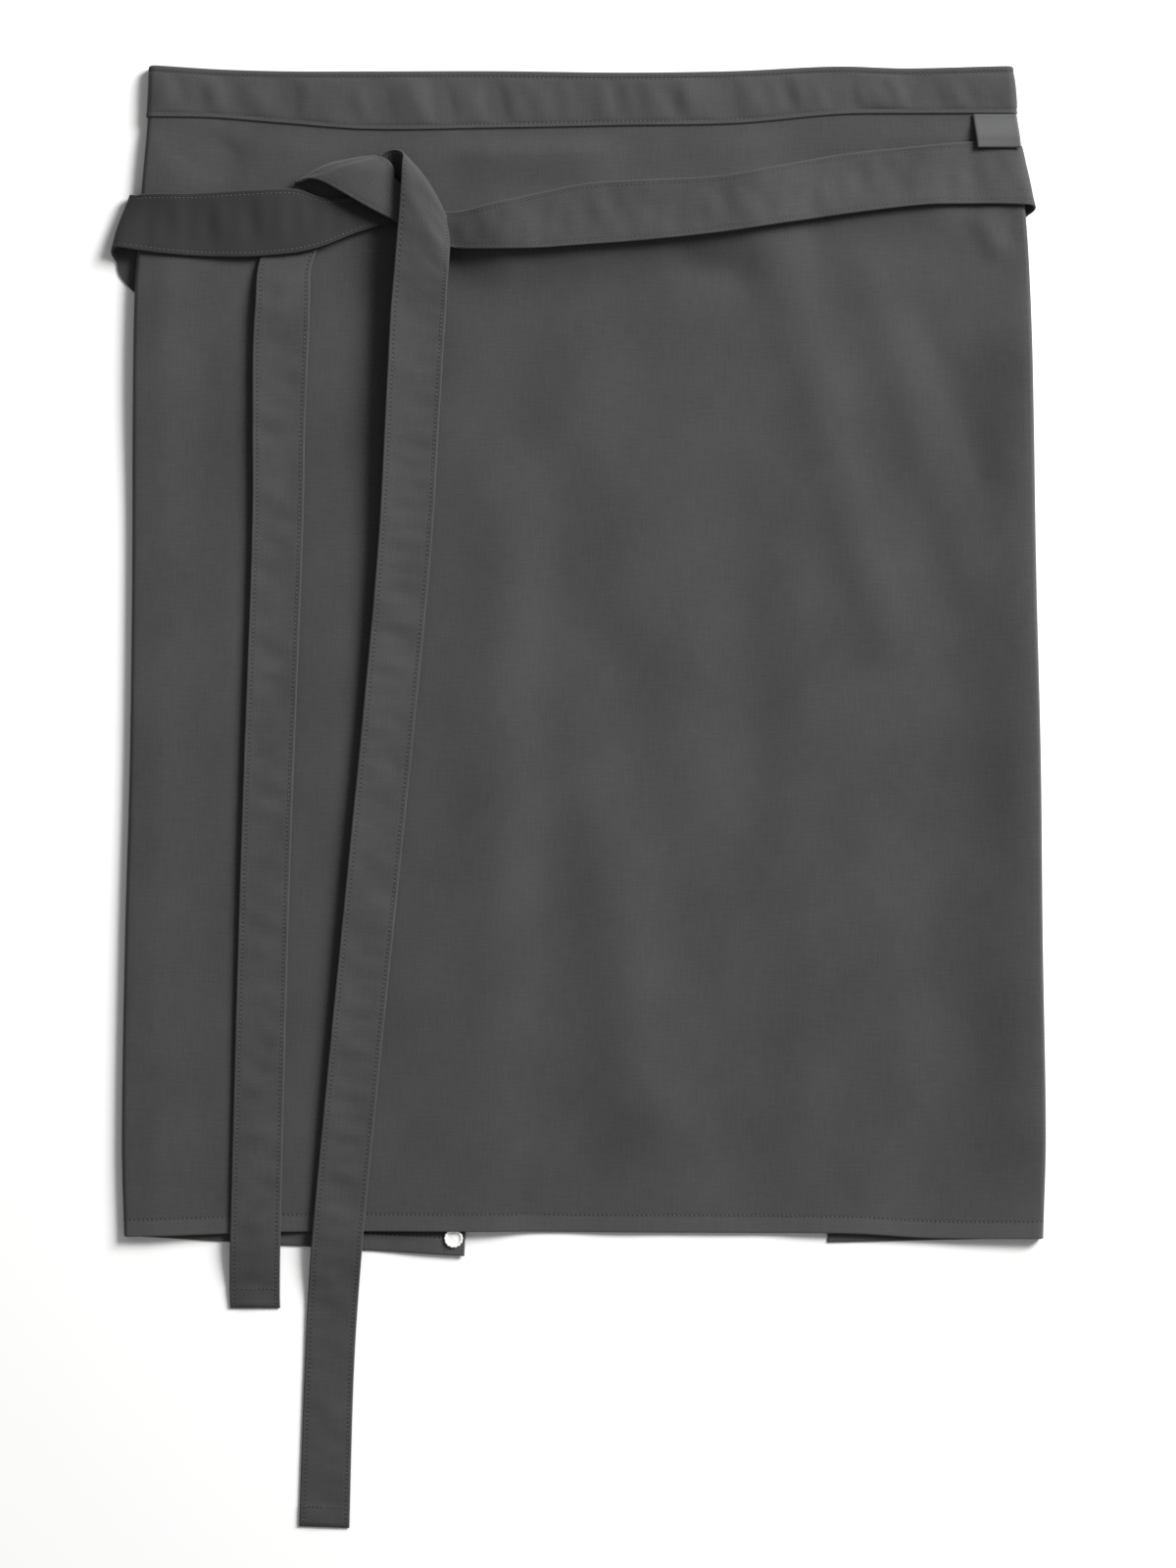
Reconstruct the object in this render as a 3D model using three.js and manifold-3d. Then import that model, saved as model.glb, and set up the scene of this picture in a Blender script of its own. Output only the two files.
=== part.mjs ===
// Waist apron of dark grey twill, folded and laid flat, face up, with its waistband towards +Y.
// Millimetres, +Z up, origin on the surface it lies on. Both wings are folded behind the front.
// The ties cross behind, come round the sides and are knotted once in front.
import * as THREE from "three";
import { mergeVertices } from "three/addons/utils/BufferGeometryUtils.js";
import Module from "manifold-3d";

// Driving dimensions of the cloth
const apronHeight = 800;
const frontWidth = 632;
const leftWingWidth = 230;
const rightWingWidth = 144;
const clothThickness = 1;
const hemHeight = 11.5;
const sideHemWidth = 13.4;
const hemPly = 0.6;
const clearance = 0.3;

// Driving dimensions of the waistband
const bandHeight = 38;
const bandPly = 1;
const foldSlack = 1.2;

// Driving dimensions of the ties
const tieWidth = 41;
const tieTipWidth = 34.5;
const tieThickness = 1.6;
const tieEndHeight = 15;
const tieEndPly = 0.8;
const tieEase = 0.2;
const knotDrop = 110;
const longTail = 918;
const shortTail = 768;
const wrapDepth = 200;

// Driving dimensions of the label and the press stud
const labelWidth = 30;
const labelLength = 21;
const labelThickness = 1.1;
const studDiameter = 12.9;
const studCapHeight = 1.4;
const studBackHeight = 1.2;
const studPostDiameter = 4;
const studFromSide = 8.1;
const studFromHem = 12.4;

// What follows from them
const bandThickness = clothThickness + 2 * (clearance + bandPly);
const bandCap = clearance + bandPly;
const foldRadius = bandThickness / 2 + foldSlack;
const layer = tieThickness + clearance;
const wingRest = clothThickness / 2;
const wingOverTies = layer + clearance + clothThickness / 2;
const frontOverBand = bandThickness + 2 * clearance;
const frontOverWing = clothThickness + 2 * hemPly + 2 * clearance;

// How softly the cloth comes down: each is the length of a slope
const bandLead = 2;
const bandRelease = 18;
const wrapRelease = 120;
const leftRidge = 55;
const rightRidge = 75;
const sagSlope = 45;
const studFlat = studDiameter;
const studSpread = 45;
const hemFall = 50;

// Both folded sides, from the waistband down. down is a share of the height;
// left and right say how far each side lies inside the widest place, as shares of the front's width.
const sides = [
  { down: 0, left: 0.0315, right: 0.037 },
  { down: 0.05, left: 0.028, right: 0.0315 },
  { down: 0.1, left: 0.0225, right: 0.025 },
  { down: 0.15, left: 0.018, right: 0.0195 },
  { down: 0.2, left: 0.014, right: 0.0165 },
  { down: 0.3, left: 0.012, right: 0.0135 },
  { down: 0.45, left: 0.011, right: 0.01 },
  { down: 0.6, left: 0.0085, right: 0.0055 },
  { down: 0.75, left: 0.0033, right: 0.0035 },
  { down: 0.92, left: 0, right: 0 },
  { down: 1, left: 0.0025, right: 0.0024 },
];

// The front from its left side to its right side. across is a share of its width there; top and hem say
// how far the top edge and the hem lie lower than a straight line, as shares of the height;
// band is the height of the waistband seen from the front, as a share of its full height.
const edges = [
  { across: 0, top: 0, band: 0.93, hem: 0.0008 },
  { across: 0.07, top: 0.003, band: 0.88, hem: -0.0005 },
  { across: 0.15, top: 0.0047, band: 0.94, hem: -0.0028 },
  { across: 0.25, top: 0.0048, band: 1.05, hem: -0.0035 },
  { across: 0.4, top: 0.0046, band: 1.03, hem: -0.0034 },
  { across: 0.55, top: 0.0058, band: 0.96, hem: -0.0026 },
  { across: 0.68, top: 0.0045, band: 0.95, hem: -0.0022 },
  { across: 0.8, top: 0.0006, band: 0.87, hem: -0.0015 },
  { across: 0.88, top: 0.0022, band: 0.82, hem: 0.0022 },
  { across: 1, top: 0.0006, band: 0.86, hem: 0.0026 },
];

// The wings. side is -1 on the left; top is the width at the waistband as a share of the width at the hem;
// dropTop and dropHem say how far the free corners lie lower than the folded ones, as shares of the height.
const wings = {
  left: { side: -1, width: leftWingWidth, top: 1.094, dropTop: 0.0184, dropHem: 0.018, edge: 0 },
  right: { side: 1, width: rightWingWidth, top: 1.023, dropTop: 0.0093, dropHem: 0.0062, edge: 1 },
};

// Rows of the cloth below the waistband, as shares of the way down to the top of the hem
const skirtRows = [
  0.015, 0.03, 0.05, 0.08, 0.12, 0.17, 0.22, 0.27, 0.33, 0.4, 0.48, 0.57, 0.66, 0.75, 0.84, 0.91, 0.965,
];
const hemStep = 0.07;

// Columns of a wing as shares of its width, and of the front as shares of its width
const wingColumns = [0.72, 0.5, 0.3, 0.15, 0.05];
const frontSideColumns = [0.008, 0.019, 0.035, 0.057, 0.087, 0.12];
const frontMiddleColumns = 17;
const foldSteps = 6;

// The ties lie in four tables. across is a share of the front's width from its middle line, down a share of
// the knot's drop below the top, lean the turn of the tie's cross line from +Y in degrees, wide the length
// of that line in tie widths, and over how many layers of tie lie below.
const leftTieBehind = [
  { across: 0.148, down: 0.38, lean: 20, wide: 0.99, over: 0 },
  { across: 0.058, down: 0.64, lean: 28, wide: 1, over: 0 },
  { across: -0.038, down: 0.945, lean: 29, wide: 1, over: 0 },
  { across: -0.133, down: 1.225, lean: 25, wide: 1, over: 0 },
  { across: -0.228, down: 1.44, lean: 16, wide: 1, over: 0 },
  { across: -0.324, down: 1.54, lean: 2, wide: 1, over: 0 },
  { across: -0.403, down: 1.455, lean: -18, wide: 1, over: 0 },
  { across: -0.461, down: 1.285, lean: -31, wide: 1, over: 0 },
  { across: -0.488, down: 1.13, lean: -25, wide: 1.02, over: 0 },
  { across: -0.492, down: 1.005, lean: -17, wide: 1.05, over: 0 },
];
const leftTieInFront = [
  { across: -0.492, down: 1.005, lean: -17, wide: 1.05, over: 0 },
  { across: -0.48, down: 0.993, lean: -5, wide: 1.03, over: 0 },
  { across: -0.45, down: 0.996, lean: 0, wide: 1.04, over: 0 },
  { across: -0.419, down: 0.999, lean: 0, wide: 1.05, over: 0 },
  { across: -0.393, down: 0.996, lean: 0, wide: 1.08, over: 0.3 },
  { across: -0.36, down: 0.994, lean: -1, wide: 1.09, over: 1.7 },
];
const rightTieBehind = [
  { across: 0.005, down: 0.42, lean: -16, wide: 0.99, over: 1 },
  { across: 0.074, down: 0.61, lean: -26, wide: 1, over: 1 },
  { across: 0.15, down: 0.85, lean: -24, wide: 1, over: 1 },
  { across: 0.203, down: 0.985, lean: -18, wide: 1, over: 0 },
  { across: 0.249, down: 1.06, lean: -12, wide: 1, over: 0 },
  { across: 0.339, down: 1.09, lean: 6, wide: 1, over: 0 },
  { across: 0.397, down: 0.993, lean: 20, wide: 1, over: 0 },
  { across: 0.439, down: 0.865, lean: 25, wide: 1, over: 0 },
  { across: 0.463, down: 0.773, lean: 19, wide: 1.02, over: 0 },
  { across: 0.4745, down: 0.691, lean: 11, wide: 1.03, over: 0 },
];
const rightTieInFront = [
  { across: 0.4745, down: 0.691, lean: 11, wide: 1.03, over: 0 },
  { across: 0.457, down: 0.675, lean: 5, wide: 1.04, over: 0 },
  { across: 0.427, down: 0.671, lean: 2, wide: 1.05, over: 0 },
  { across: 0.362, down: 0.695, lean: 4, wide: 0.99, over: 0 },
  { across: 0.28, down: 0.748, lean: 6, wide: 1, over: 0 },
  { across: 0.216, down: 0.812, lean: 9, wide: 0.96, over: 0.1 },
  { across: 0.151, down: 0.876, lean: 9, wide: 0.93, over: 0.4 },
  { across: 0.069, down: 0.914, lean: 5, wide: 1, over: 0.9 },
  { across: 0.005, down: 0.941, lean: 5, wide: 1.01, over: 1.6 },
  { across: -0.07, down: 0.999, lean: 8, wide: 0.85, over: 2.6 },
];

// The knot. right and below are measured in tie widths from the knot's middle, knotAcross is that middle's
// share of the front's width from its middle line, and the tails are measured from the knot's top.
const knotAcross = -0.201;
const knotTop = 0.745 * knotDrop;
const leftTieKnot = [
  { right: -1.73, below: 0, lean: -2, wide: 0.95, over: 1.8 },
  { right: -1.24, below: -0.05, lean: -4, wide: 0.82, over: 1.8 },
  { right: -0.67, below: -0.19, lean: -8, wide: 0.66, over: 1.8 },
  { right: -0.23, below: -0.37, lean: 5, wide: 0.69, over: 1.8 },
  { right: 0.04, below: -0.53, lean: 22, wide: 0.83, over: 1.8 },
  { right: 0.27, below: -0.66, lean: 36, wide: 1, over: 1.8 },
];
const longTailTop = [
  { right: 0.27, below: -0.66, lean: 36, wide: 1, over: 8.2 },
  { right: 0.39, below: -0.4, lean: 43, wide: 1.03, over: 8.2 },
  { right: 0.44, below: -0.11, lean: 51, wide: 0.99, over: 8 },
  { right: 0.45, below: 0.2, lean: 59.5, wide: 0.97, over: 7.6 },
  { right: 0.425, below: 0.66, lean: 67, wide: 0.96, over: 6.9 },
  { right: 0.385, below: 1.14, lean: 76, wide: 0.93, over: 6.2 },
];
const rightTieKnot = [
  { right: 0.9, below: 0.09, lean: 3, wide: 0.6, over: 3.4 },
  { right: 0.41, below: -0.13, lean: 0, wide: 0.64, over: 4 },
  { right: -0.065, below: -0.5, lean: 5, wide: 0.9, over: 4.5 },
  { right: -0.48, below: -0.75, lean: -38, wide: 0.86, over: 4.9 },
  { right: -0.76, below: -0.82, lean: -62, wide: 1.15, over: 4.9 },
  { right: -1.02, below: -0.77, lean: -71.8, wide: 1.44, over: 4.8 },
];
const shortTailTop = [
  { right: -1.02, below: -0.77, lean: -71.8, wide: 1.44, over: 0 },
  { right: -1.25, below: -0.45, lean: -80, wide: 1.12, over: 0 },
  { right: -1.53, below: -0.05, lean: -86, wide: 0.95, over: 0 },
];

// The tails. drop is a share of the tail's length below the top of the knot.
const longTailRows = [
  { drop: 0.104, across: -0.179, lean: 85, wide: 1.09, over: 5.5 },
  { drop: 0.17, across: -0.1845, lean: 86.7, wide: 1.07, over: 4.3 },
  { drop: 0.27, across: -0.1933, lean: 86.7, wide: 1.055, over: 2.8 },
  { drop: 0.39, across: -0.2095, lean: 84.6, wide: 1.04, over: 1.2 },
  { drop: 0.52, across: -0.2285, lean: 84.4, wide: 1.03, over: 0.2 },
  { drop: 0.65, across: -0.2475, lean: 84.4, wide: 1.02, over: 0 },
  { drop: 0.796, across: -0.2677, lean: 84.8, wide: 1.01, over: 0 },
  { drop: 0.883, across: -0.2756, lean: 86.4, wide: 0.98, over: 0 },
  { drop: 1, across: -0.281, lean: 88, wide: 1, over: 0 },
];
const shortTailRows = [
  { drop: 0.0686, across: -0.322, lean: -90, wide: 1.06, over: 0.3 },
  { drop: 0.136, across: -0.327, lean: -90, wide: 1.1, over: 0.8 },
  { drop: 0.22, across: -0.3295, lean: -91, wide: 1.04, over: 0.6 },
  { drop: 0.323, across: -0.3315, lean: -91.5, wide: 1.01, over: 0.3 },
  { drop: 0.62, across: -0.3448, lean: -92, wide: 0.99, over: 0 },
  { drop: 0.9445, across: -0.3553, lean: -91, wide: 1, over: 0 },
  { drop: 1, across: -0.3557, lean: -90, wide: 0.99, over: 0 },
];
const tieStep = 14;
const turnSteps = 6;

// The label hangs from this share of the front's width, and rises to the tie within the first part of its length.
const labelAcross = 0.97;
const labelRise = 1.4;
const labelSteps = 8;

const wasm = await Module();
wasm.setup();

const lerp = THREE.MathUtils.lerp;
const clamp = THREE.MathUtils.clamp;

// 0 before a slope, 1 after it, and smooth between.
const slope = (t) => THREE.MathUtils.smoothstep(t, 0, 1);

// One column of a table, read smoothly between its rows.
function read(rows, key, at, column) {
  const place = clamp(at, rows[0][key], rows[rows.length - 1][key]);
  const next = Math.max(1, rows.findIndex((row) => row[key] >= place));
  const i = next - 1;
  const [a, b] = [rows[i], rows[next]];
  const span = b[key] - a[key];
  const rate = (k) => {
    const before = rows[Math.max(k - 1, 0)];
    const after = rows[Math.min(k + 1, rows.length - 1)];
    return (after[column] - before[column]) / (after[key] - before[key]);
  };
  const t = (place - a[key]) / span;
  const bend = (rate(i) * (1 - t) - rate(next) * t) * span + (b[column] - a[column]) * (2 * t - 1);
  return lerp(a[column], b[column], t) + t * (1 - t) * bend;
}

// Outline of one folded side: the middle line of its fold, at a depth below the top.
function foldLine(side, down) {
  const inset = read(sides, "down", down / apronHeight, side < 0 ? "left" : "right") * frontWidth;
  return side * (frontWidth / 2 - inset - foldRadius - clothThickness / 2);
}

// Free edge of a wing at a depth between its corners.
function wingEdge(wing, down) {
  const top = foldLine(wing.side, 0) - wing.side * wing.width * wing.top;
  const hem = foldLine(wing.side, apronHeight) - wing.side * wing.width;
  return lerp(top, hem, down / apronHeight);
}

const studX = wingEdge(wings.left, apronHeight) - studFromSide;
const studDown = apronHeight * (1 + wings.left.dropHem) - studFromHem;
const studSeat = studBackHeight + clearance + clothThickness / 2;
const studCapFoot = studSeat + clothThickness / 2 + hemPly + clearance;
const frontOverStud = studCapFoot + studCapHeight + clearance + hemPly + clothThickness / 2;

// Lifts a height towards another one around the press stud.
function overStud(height, x, down, target) {
  const away = Math.hypot(x - studX, down - studDown);
  return lerp(height, Math.max(height, target), 1 - slope((away - studFlat) / studSpread));
}

// Lower edge of the waistband on the front, at a share of the front's width.
function bandMouth(across) {
  const top = read(edges, "across", across, "top") * apronHeight;
  return top + read(edges, "across", across, "band") * bandHeight;
}

// 0 inside the waistband and 1 well below its lower edge.
const belowBand = (down, mouth) => slope((down - mouth - bandLead) / bandRelease);

// Height of a wing's middle surface: in the waistband, over the ties behind it, then on the surface.
function wingHeight(down, mouth) {
  const leaveBand = belowBand(down, mouth);
  const leaveTies = slope((down - wrapDepth) / wrapRelease);
  return lerp(lerp(bandThickness / 2, wingOverTies, leaveBand), wingRest, leaveTies);
}

// Height of the front's middle surface: a ridge at each folded side, and a sag between the wings.
function frontHeight(x, down) {
  const fromLeft = x - foldLine(-1, down);
  const fromRight = foldLine(1, down) - x;
  const mouth = bandMouth(fromLeft / (fromLeft + fromRight));
  const over = lerp(frontOverBand, frontOverWing, belowBand(down, mouth));
  const ridge = 2 * foldRadius - over;
  const left = ridge * (1 - slope(fromLeft / leftRidge));
  const right = ridge * (1 - slope(fromRight / rightRidge));
  const inGap = slope((x - wingEdge(wings.left, down)) / sagSlope);
  const inOtherGap = slope((wingEdge(wings.right, down) - x) / sagSlope);
  const sagged = slope((down - wrapDepth - wrapRelease / 2) / wrapRelease);
  const sag = (over - hemPly - clearance) * inGap * inOtherGap * sagged;
  return overStud(wingHeight(down, mouth) + over + left + right - sag, x, down, frontOverStud);
}

// Depth of a row of the cloth in a column whose top, waistband and hem are known.
function rowDepth(row, top, band, hem) {
  if (row.zone === "band") return top + lerp(bandCap, band, row.share);
  if (row.zone === "skirt") return lerp(top + band, hem - hemHeight, row.share);
  return hem - hemHeight * (1 - row.share);
}

const clothRows = [
  { zone: "band", share: 0 },
  { zone: "band", share: 1 },
  ...skirtRows.map((share) => ({ zone: "skirt", share })),
  { zone: "hem", share: 0 },
  { zone: "hem", share: hemStep },
  { zone: "hem", share: 1 },
];

// A column of the front at a share of its width: its middle surface, row by row.
function frontColumn(across) {
  const top = read(edges, "across", across, "top") * apronHeight;
  const band = read(edges, "across", across, "band") * bandHeight;
  const hem = (1 + read(edges, "across", across, "hem")) * apronHeight;
  return clothRows.map((row) => {
    const down = rowDepth(row, top, band, hem);
    const x = lerp(foldLine(-1, down), foldLine(1, down), across);
    return new THREE.Vector3(x, -down, frontHeight(x, down));
  });
}

// A column of a wing at a share of the way from its fold to its free edge.
function wingColumn(wing, share) {
  const foldTop = read(edges, "across", wing.edge, "top") * apronHeight;
  const foldBand = read(edges, "across", wing.edge, "band") * bandHeight;
  const foldHem = (1 + read(edges, "across", wing.edge, "hem")) * apronHeight;
  const freeTop = foldTop + wing.dropTop * apronHeight;
  const freeHem = (1 + wing.dropHem) * apronHeight;
  return clothRows.map((row) => {
    const foldDown = rowDepth(row, foldTop, foldBand, foldHem);
    const freeDown = rowDepth(row, freeTop, bandHeight, freeHem);
    const x = lerp(foldLine(wing.side, foldDown), wingEdge(wing, freeDown), share);
    const down = lerp(foldDown, freeDown, share);
    const mouth = lerp(foldTop + foldBand, freeTop + bandHeight, share);
    return new THREE.Vector3(x, -down, overStud(wingHeight(down, mouth), x, down, studSeat));
  });
}

// The columns round a folded side, between its wing and the front.
function foldColumns(wing) {
  const inner = wingColumn(wing, 0);
  return Array.from({ length: foldSteps - 1 }, (_, k) => {
    const turn = (Math.PI * (k + 1)) / foldSteps;
    const shift = new THREE.Vector3(
      wing.side * foldRadius * Math.sin(turn),
      0,
      foldRadius * (1 - Math.cos(turn)),
    );
    return inner.map((point) => point.clone().add(shift));
  });
}

// Free edge and side hem of a wing, then the columns up to its fold.
function wingSide(wing) {
  const hemShare = 1 - sideHemWidth / wing.width;
  const step = (hemStep * sideHemWidth) / wing.width;
  const hemmed = [1, hemShare + step].map((share) => ({ points: wingColumn(wing, share), hem: true }));
  const plain = [hemShare, ...wingColumns.map((share) => share * hemShare), 0];
  return [...hemmed, ...plain.map((share) => ({ points: wingColumn(wing, share), hem: false }))];
}

// Every column of the unfolded cloth, from the left wing's free edge to the right wing's.
function clothColumns() {
  const bare = (points) => ({ points, hem: false });
  const first = frontSideColumns[frontSideColumns.length - 1];
  const middle = Array.from({ length: frontMiddleColumns }, (_, k) =>
    lerp(first, 1 - first, (k + 1) / (frontMiddleColumns + 1)),
  );
  const mirrored = frontSideColumns.map((share) => 1 - share).reverse();
  const shares = [0, ...frontSideColumns, ...middle, ...mirrored, 1];
  return [
    ...wingSide(wings.left),
    ...foldColumns(wings.left).map(bare),
    ...shares.map((share) => bare(frontColumn(share))),
    ...foldColumns(wings.right).reverse().map(bare),
    ...wingSide(wings.right).reverse(),
  ];
}

// Unit normals of a grid of points, towards the face of the cloth.
function gridNormals(grid) {
  const last = grid.length - 1;
  return grid.map((column, i) =>
    column.map((_, j) => {
      const end = column.length - 1;
      const along = grid[Math.min(i + 1, last)][j].clone().sub(grid[Math.max(i - 1, 0)][j]);
      const down = column[Math.min(j + 1, end)].clone().sub(column[Math.max(j - 1, 0)]);
      return down.cross(along).normalize();
    }),
  );
}

// A closed solid from stations that each hold the same closed ring of points.
function sweep(rings) {
  const count = rings[0].length;
  const positions = rings.flat().flatMap((point) => [point.x, point.y, point.z]);
  const index = [];
  for (let i = 0; i + 1 < rings.length; i += 1) {
    for (let j = 0; j < count; j += 1) {
      const a = i * count + j;
      const b = i * count + ((j + 1) % count);
      index.push(a, b, a + count, b, b + count, a + count);
    }
  }
  return { positions, index, count };
}

// Turns positions and triangles into a geometry.
function geometryOf(positions, index) {
  const geometry = new THREE.BufferGeometry();
  geometry.setAttribute("position", new THREE.Float32BufferAttribute(positions, 3));
  geometry.setIndex(index);
  geometry.computeVertexNormals();
  return geometry;
}

// A swept solid whose ends are closed by joining two rows of ring points that face each other.
// half is how many points lie on each of the two rows.
function stripSolid(rings, half) {
  const { positions, index, count } = sweep(rings);
  const start = (rings.length - 1) * count;
  for (let j = 0; j + 1 < half; j += 1) {
    const [a, b] = [j, j + 1];
    const [c, d] = [count - 1 - j, count - 2 - j];
    index.push(a, c, b, b, c, d);
    index.push(start + a, start + b, start + c, start + b, start + d, start + c);
  }
  return geometryOf(positions, index);
}

// The cloth as one folded solid, thicker where it is hemmed.
function apronGeometry(columns) {
  const grid = columns.map((column) => column.points);
  const normals = gridNormals(grid);
  const rings = grid.map((column, i) => {
    const face = column.map((point, j) =>
      point.clone().addScaledVector(normals[i][j], clothThickness / 2),
    );
    const back = column.map((point, j) => {
      const hemmed = columns[i].hem || (clothRows[j].zone === "hem" && clothRows[j].share > 0);
      const depth = clothThickness / 2 + (hemmed && clothRows[j].zone !== "band" ? hemPly : 0);
      return point.clone().addScaledVector(normals[i][j], -depth);
    });
    return [...face, ...back.reverse()];
  });
  return stripSolid(rings, clothRows.length);
}

// The waistband: one strip folded over the top edge of the cloth, with the cloth between its two plies.
function bandGeometry(columns) {
  const grid = columns.map((column) => column.points.slice(0, 2));
  const normals = gridNormals(grid);
  const rings = grid.map(([top, mouth], i) => {
    const down = mouth.clone().sub(top).normalize();
    const depth = mouth.distanceTo(top);
    const half = bandThickness / 2;
    const slot = half - bandPly;
    const section = [
      [-bandCap, half - bandPly],
      [bandPly - bandCap, half],
      [depth, half],
      [depth, slot],
      [-clearance, slot],
      [-clearance, -slot],
      [depth, -slot],
      [depth, -half],
      [bandPly - bandCap, -half],
      [-bandCap, bandPly - half],
    ];
    return section.map(([below, out]) =>
      top.clone().addScaledVector(down, below).addScaledVector(normals[i][0], out),
    );
  });
  return bandSolid(rings);
}

// Closes the two ends of the waistband, whose section is a deep U.
function bandSolid(rings) {
  const { positions, index, count } = sweep(rings);
  const flat = [
    [0, 1, 4],
    [1, 2, 3],
    [1, 3, 4],
    [0, 4, 5],
    [0, 5, 9],
    [9, 5, 8],
    [8, 5, 6],
    [8, 6, 7],
  ];
  const start = (rings.length - 1) * count;
  for (const [a, b, c] of flat) {
    index.push(a, c, b);
    index.push(start + a, start + b, start + c);
  }
  return geometryOf(positions, index);
}

// What a tie lies on in front: the face of the front, and past the hem the surface below it.
function frontTop(x, down) {
  const inside = clamp(x, foldLine(-1, down), foldLine(1, down));
  const onCloth = frontHeight(inside, Math.min(down, apronHeight)) + clothThickness / 2;
  return (onCloth + tieEase) * (1 - slope((down - apronHeight) / hemFall));
}

// A station of a tie from a row of its tables.
function station(x, down, row, width, ground) {
  const lean = THREE.MathUtils.degToRad(row.lean);
  return { x, down, lean, half: (row.wide * width) / 2, over: row.over, ground };
}

const spread = (rows, ground) =>
  rows.map((row) => station(row.across * frontWidth, row.down * knotDrop, row, tieWidth, ground));
const knotted = (rows) =>
  rows.map((row) => {
    const x = knotAcross * frontWidth + row.right * tieWidth;
    return station(x, knotDrop + row.below * tieWidth, row, tieWidth, frontTop);
  });
const hanging = (rows, length) =>
  rows.map((row) => {
    const down = knotTop + row.drop * length;
    return station(row.across * frontWidth, down, row, tieTipWidth, frontTop);
  });

// Puts stations between the given ones, so that a run of tie curves smoothly.
function refine(stations) {
  const out = [];
  const at = (k) => stations[clamp(k, 0, stations.length - 1)];
  const mix = (k, t, name) => {
    const [p, a, b, n] = [at(k - 1)[name], at(k)[name], at(k + 1)[name], at(k + 2)[name]];
    const [rise, fall] = [(b - p) / 2, (n - a) / 2];
    const bend = rise * (1 - t) - fall * t + (b - a) * (2 * t - 1);
    return lerp(a, b, t) + t * (1 - t) * bend;
  };
  for (let k = 0; k + 1 < stations.length; k += 1) {
    const [a, b] = [stations[k], stations[k + 1]];
    const steps = Math.max(2, Math.ceil(Math.hypot(b.x - a.x, b.down - a.down) / tieStep));
    for (let s = 0; s < steps; s += 1) {
      const t = s / steps;
      out.push({
        x: mix(k, t, "x"),
        down: mix(k, t, "down"),
        lean: mix(k, t, "lean"),
        half: mix(k, t, "half"),
        over: lerp(a.over, b.over, slope(t)),
        ground: (x, down) => lerp(a.ground(x, down), b.ground(x, down), t),
      });
    }
  }
  out.push(stations[stations.length - 1]);
  return out;
}

// A station's middle point and its cross line, at its height over what it lies on.
function lay(place) {
  const cross = new THREE.Vector3(-Math.sin(place.lean), Math.cos(place.lean), 0);
  const below = [-1, -0.5, 0, 0.5, 1].map((share) => {
    const reach = share * place.half;
    return place.ground(place.x + cross.x * reach, place.down - cross.y * reach);
  });
  const height = Math.max(...below) + clearance + tieThickness / 2 + place.over * layer;
  return { centre: new THREE.Vector3(place.x, -place.down, height), cross, half: place.half, ply: 0 };
}

// The half turn of a tie between two runs that end and begin on the same fold line.
function turnOver(from, to) {
  const radius = (to.centre.z - from.centre.z) / 2;
  const outward = from.outward.clone();
  return Array.from({ length: turnSteps - 1 }, (_, k) => {
    const turn = (Math.PI * (k + 1)) / turnSteps;
    const centre = from.centre.clone();
    centre.addScaledVector(outward, Math.abs(radius) * Math.sin(turn));
    centre.z += radius * (1 - Math.cos(turn));
    return { centre, cross: from.cross, half: lerp(from.half, to.half, (k + 1) / turnSteps), ply: 0 };
  });
}

// Joins runs of a tie by half turns into one list of laid stations.
function joinRuns(runs) {
  const laid = runs.map((run) => run.map(lay));
  const out = [...laid[0]];
  for (const next of laid.slice(1)) {
    const last = out[out.length - 1];
    const before = out[out.length - 2];
    const travel = last.centre.clone().sub(before.centre).setZ(0);
    last.outward = travel.addScaledVector(last.cross, -travel.dot(last.cross)).normalize();
    out.push(...turnOver(last, next[0]), ...next);
  }
  return out;
}

// Ends a tie with its tip turned in and stitched down: one more ply on top, a little wider.
function turnedTip(stations) {
  const tip = stations[stations.length - 1];
  const plain = tieEndHeight + tieThickness;
  const keep = stations.findLastIndex((place) => place.centre.distanceTo(tip.centre) > plain);
  const travel = tip.centre.clone().sub(stations[keep].centre).setZ(0).normalize();
  const back = (distance, ply) => ({
    centre: tip.centre.clone().addScaledVector(travel, -distance),
    cross: tip.cross,
    half: tip.half + (ply > 0 ? clearance : 0),
    ply,
  });
  const turnedIn = [back(tieEndHeight, 0), back(tieEndHeight - clearance, tieEndPly), back(0, tieEndPly)];
  return [...stations.slice(0, keep + 1), ...turnedIn];
}

// A tie or tape as a closed strip that is level across. ply is what a station adds on top.
function tapeGeometry(stations, thickness) {
  const last = stations.length - 1;
  const rings = stations.map((place, i) => {
    const before = stations[Math.max(i - 1, 0)].centre;
    const after = stations[Math.min(i + 1, last)].centre;
    const normal = after.clone().sub(before).cross(place.cross).normalize();
    const left = place.centre.clone().addScaledVector(place.cross, place.half);
    const right = place.centre.clone().addScaledVector(place.cross, -place.half);
    const up = thickness / 2 + (normal.z > 0 ? place.ply : 0);
    const low = thickness / 2 + (normal.z > 0 ? 0 : place.ply);
    return [
      left.clone().addScaledVector(normal, up),
      right.clone().addScaledVector(normal, up),
      right.clone().addScaledVector(normal, -low),
      left.clone().addScaledVector(normal, -low),
    ];
  });
  return stripSolid(rings, 2);
}

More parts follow.
